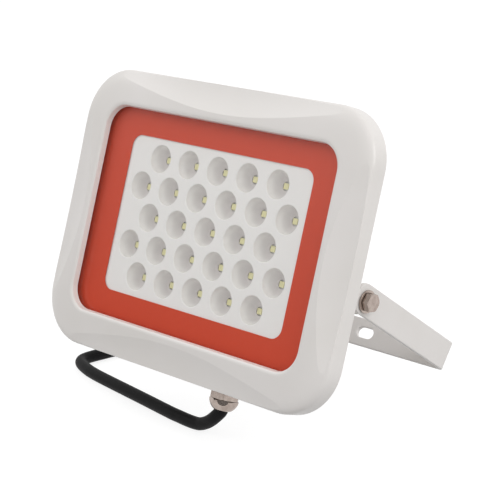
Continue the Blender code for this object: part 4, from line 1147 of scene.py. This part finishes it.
# Cable gland
GLAND_ACROSS_FLATS = 0.0136
GLAND_BODY_TURN = -9.0
GLAND_NUT_TURN = 22.0
GLAND_BORE_RADIUS = 0.0048
BODY_TOP = -GLAND_PAD + 0.0020
NUT_END = -GLAND_END
NUT_TOP = NUT_END - 0.0054
NUT_RADIUS = 0.0073
GLAND_CORNER = 0.0078  # just inside the corners of the hexagon
GLAND_CHAMFER = 0.0007
GLAND_INNER_END = 0.0530
THREAD_START = 0.0534
THREAD_PITCH = 0.0015
THREAD_DEPTH = 0.0005
THREAD_END = NUT_TOP + 0.0012
THREAD_ROOT = GLAND_THREAD_RADIUS - 0.0004
BORE_FROM = 0.0500
BORE_TO = 0.0900

body_high = NUT_TOP - GAP
body_outline = hexagon(GLAND_ACROSS_FLATS, GLAND_BODY_TURN)
gland_body = prism("gland_hexagon", body_outline, BODY_TOP, body_high)
# a turned form takes the corners off the hexagon at both ends
form_profile = [
    (0.0, BODY_TOP - 0.001),
    (GLAND_CORNER - GLAND_CHAMFER, BODY_TOP - 0.0001),
    (GLAND_CORNER, BODY_TOP + GLAND_CHAMFER * 0.5),
    (GLAND_CORNER, body_high - GLAND_CHAMFER * 0.5),
    (GLAND_CORNER - GLAND_CHAMFER, body_high + 0.0001),
    (0.0, body_high + 0.001),
]
thread_profile = [(0.0, GLAND_INNER_END), (THREAD_ROOT, GLAND_INNER_END)]
for turn in range(int((THREAD_END - THREAD_START) / THREAD_PITCH)):
    start = THREAD_START + turn * THREAD_PITCH
    thread_profile += [
        (GLAND_THREAD_RADIUS, start + THREAD_PITCH * 0.35),
        (GLAND_THREAD_RADIUS - THREAD_DEPTH, start + THREAD_PITCH * 0.85),
    ]
thread_profile += [(THREAD_ROOT, THREAD_END), (0.0, THREAD_END)]
bore = bar("bore", GLAND_BORE_RADIUS, BORE_FROM, BORE_TO)
gland_body = worked(
    gland_body,
    (turned("form", form_profile, 64), "INTERSECT"),
    (turned("thread", thread_profile), "UNION"),
    (bore, "DIFFERENCE"),
)
fitted(gland_body, LAMP @ GLAND, NICKEL, "head", ["gland_body"])

DOME_STEP = 0.0004
NUT_DOME = (
    (0.0042, 0.0),
    (0.0050, 0.0005),
    (0.0060, 0.0016),
    (0.0067, 0.0028),
    (0.0071, 0.0038),
    (NUT_RADIUS, 0.0048),
)  # radius, and distance from the nut's end
dome_points = [Vector((radius, NUT_END - depth, 0.0)) for radius, depth in NUT_DOME]
dome = smooth_route(dome_points, DOME_STEP)
nut_profile = [(0.0, NUT_END + GAP), *[(point.x, point.y) for point in dome]]
nut_profile += [(NUT_RADIUS, NUT_TOP + 0.0003), (0.0070, NUT_TOP), (0.0, NUT_TOP - GAP)]
bore_radius = LEAD_RADIUS + 0.0004
nut_bore_profile = [
    (0.0, BORE_TO),
    (bore_radius + 0.0003, BORE_TO),
    (bore_radius + 0.0003, NUT_END - 0.0002),
    (bore_radius, NUT_END - 0.0005),
    (bore_radius, NUT_END - 0.0012),
    (GLAND_BORE_RADIUS, NUT_END - 0.0026),
    (GLAND_THREAD_RADIUS + GAP, NUT_END - 0.0038),
    (GLAND_THREAD_RADIUS + GAP, 0.07),
    (0.0, 0.07),
]
dome_nut = worked(
    prism("dome_nut", hexagon(GLAND_ACROSS_FLATS, GLAND_NUT_TURN), NUT_TOP, NUT_END),
    (turned("nut_form", nut_profile, 96), "INTERSECT"),
    (turned("nut_bore", nut_bore_profile), "DIFFERENCE"),
)
fitted(dome_nut, LAMP @ GLAND, NICKEL, "head", ["gland_dome_nut"])

# Finishes of the frame's own pieces
FRAME_FINISHES = {
    "glass_pane": GLASS,
    "glass_seal": SILICONE,
    "led_board": BOARD_MASK,
    "driver_board": GREEN_MASK,
    "driver_transformer": TAPE,
    "driver_capacitor": SLEEVE,
    "terminal_block": NYLON,
    "driver_cover_seal": FOAM,
    "friction_washer": NYLON,
    "board_screw": ZINC,
    "driver_screw": ZINC,
    "gland_o_ring": NITRILE,
    "gland_seal": NITRILE,
    "inner_lead": SHEATH,
    "inner_core_live": BROWN,
    "inner_core_earth": GREEN,
    "inner_core_neutral": BLUE,
    "led_lead_positive": RED,
    "led_lead_negative": SHEATH,
}
for name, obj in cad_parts.items():
    for prefix, finish in FRAME_FINISHES.items():
        if name.startswith(prefix):
            obj.data.materials.clear()
            obj.data.materials.append(finish)

# Floor that the lead lies on, and soft studio light
FLOOR_Z = LEAD_REST - LEAD_RADIUS
FLOOR_REACH = 3.0
FLOOR_GLOW = 0.84
ROOM_LIGHT = 0.83
BACKDROP_LIGHT = 1.0
bm = bmesh.new()
bmesh.ops.create_grid(bm, x_segments=8, y_segments=8, size=FLOOR_REACH)
bmesh.ops.translate(bm, vec=(0.0, 0.0, FLOOR_Z), verts=bm.verts[:])
floor = mesh_piece("floor", bm)
floor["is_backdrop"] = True


def two_looks(tree, output, cast, seen):
    """One shader for the light that falls on the object, another for camera, mirror and glass."""
    rays = add(tree, "LightPath", {}).outputs
    pair = {0: rays["Is Camera Ray"], 1: rays["Is Glossy Ray"]}
    shown = add(tree, "Math", pair, operation="MAXIMUM")
    pair = {0: shown.outputs[0], 1: rays["Is Transmission Ray"]}
    shown = add(tree, "Math", pair, operation="MAXIMUM")
    shares = {0: shown.outputs[0], 1: cast.outputs[0], 2: seen.outputs[0]}
    mixed = add(tree, "MixShader", shares)
    add(tree, output, {"Surface": mixed.outputs[0]})


# white to the eye, with the object's shadow, but a mid grey in the light that it throws back
paper, tree = emptied("white_paper_floor")
plain = add(tree, "BsdfDiffuse", {"Color": linear("#A8A8A8")})
shadowed = add(tree, "BsdfDiffuse", {"Color": linear("#8C8C8C")})
glow = add(tree, "Emission", {"Color": WHITE, "Strength": FLOOR_GLOW})
white = add(tree, "AddShader", {0: shadowed.outputs[0], 1: glow.outputs[0]})
two_looks(tree, "OutputMaterial", plain, white)
floor.data.materials.append(paper)

# Dark cards in front of the lamp, seen only in reflections: painted reflections for the shiny parts, dark
# below and growing pale upwards
CARD_MIDDLE = (0.0, -0.08)
CARD_REACH = 1.1
CARD_TOP = 0.46
CARD_SIDES = ((213, 241), (288, 325))  # where each stands round the lamp, in degrees
CARD_DARK_TO = 0.12
CARD_PALE_FROM = 0.42
CARD_LIGHT = (0.08, 1.0)  # where it is dark, and where it is pale
bm = bmesh.new()
for sides in CARD_SIDES:
    foot = [bm.verts.new((x, y, FLOOR_Z)) for x, y in arc(CARD_MIDDLE, CARD_REACH, *sides, 12)]
    head = [bm.verts.new((*vert.co.xy, CARD_TOP)) for vert in foot]
    for i in range(len(foot) - 1):
        bm.faces.new((foot[i], foot[i + 1], head[i + 1], head[i]))
card = mesh_piece("painted_reflection_cards", bm)
card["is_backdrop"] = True
# the cards glow, light nothing, throw no shadow and hide from the camera: all they give is painted reflection
card.visible_camera = False
card.visible_diffuse = False
card.visible_shadow = False
card.visible_transmission = False

graded, tree = emptied("painted_reflection_card")
places = add(tree, "TexCoord", {}).outputs["Object"]
height = add(tree, "SeparateXYZ", {"Vector": places}).outputs["Z"]
# painted reflection: the cards' glow runs from dark at the bottom to pale at the top
shade = mapped(tree, height, CARD_DARK_TO, CARD_PALE_FROM, CARD_LIGHT)
pale = add(tree, "Emission", {"Color": WHITE, "Strength": shade})
add(tree, "OutputMaterial", {"Surface": pale.outputs[0]})
card.data.materials.append(graded)

# A white room that lights the object a little less than it shows
world = bpy.data.worlds.new("studio")
scene.world = world
world.use_nodes = True
tree = world.node_tree
tree.nodes.clear()
room = add(tree, "Background", {"Color": WHITE, "Strength": ROOM_LIGHT})
backdrop = add(tree, "Background", {"Color": WHITE, "Strength": BACKDROP_LIGHT})
two_looks(tree, "OutputWorld", room, backdrop)

LIGHT_TARGET = Vector((0.0, -0.08, 0.06))


def softbox(name, place, size, power):
    """A square area lamp that faces the object."""
    lamp = bpy.data.lights.new(name, "AREA")
    lamp.shape = "SQUARE"
    lamp.size = size
    lamp.energy = power
    made = bpy.data.objects.new(name, lamp)
    made.location = place
    heading = LIGHT_TARGET - Vector(place)
    made.rotation_euler = heading.to_track_quat("-Z", "Y").to_euler()
    scene.collection.objects.link(made)


softbox("key_light", (-0.85, -0.60, 0.85), 0.6, 1.85)
softbox("fill_light", (0.95, -0.10, 0.60), 0.5, 3.0)
scene.view_settings.view_transform = "Standard"

size = {"cad": [list(corner) for corner in cad_bounds], "visual": [list(corner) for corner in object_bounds()]}
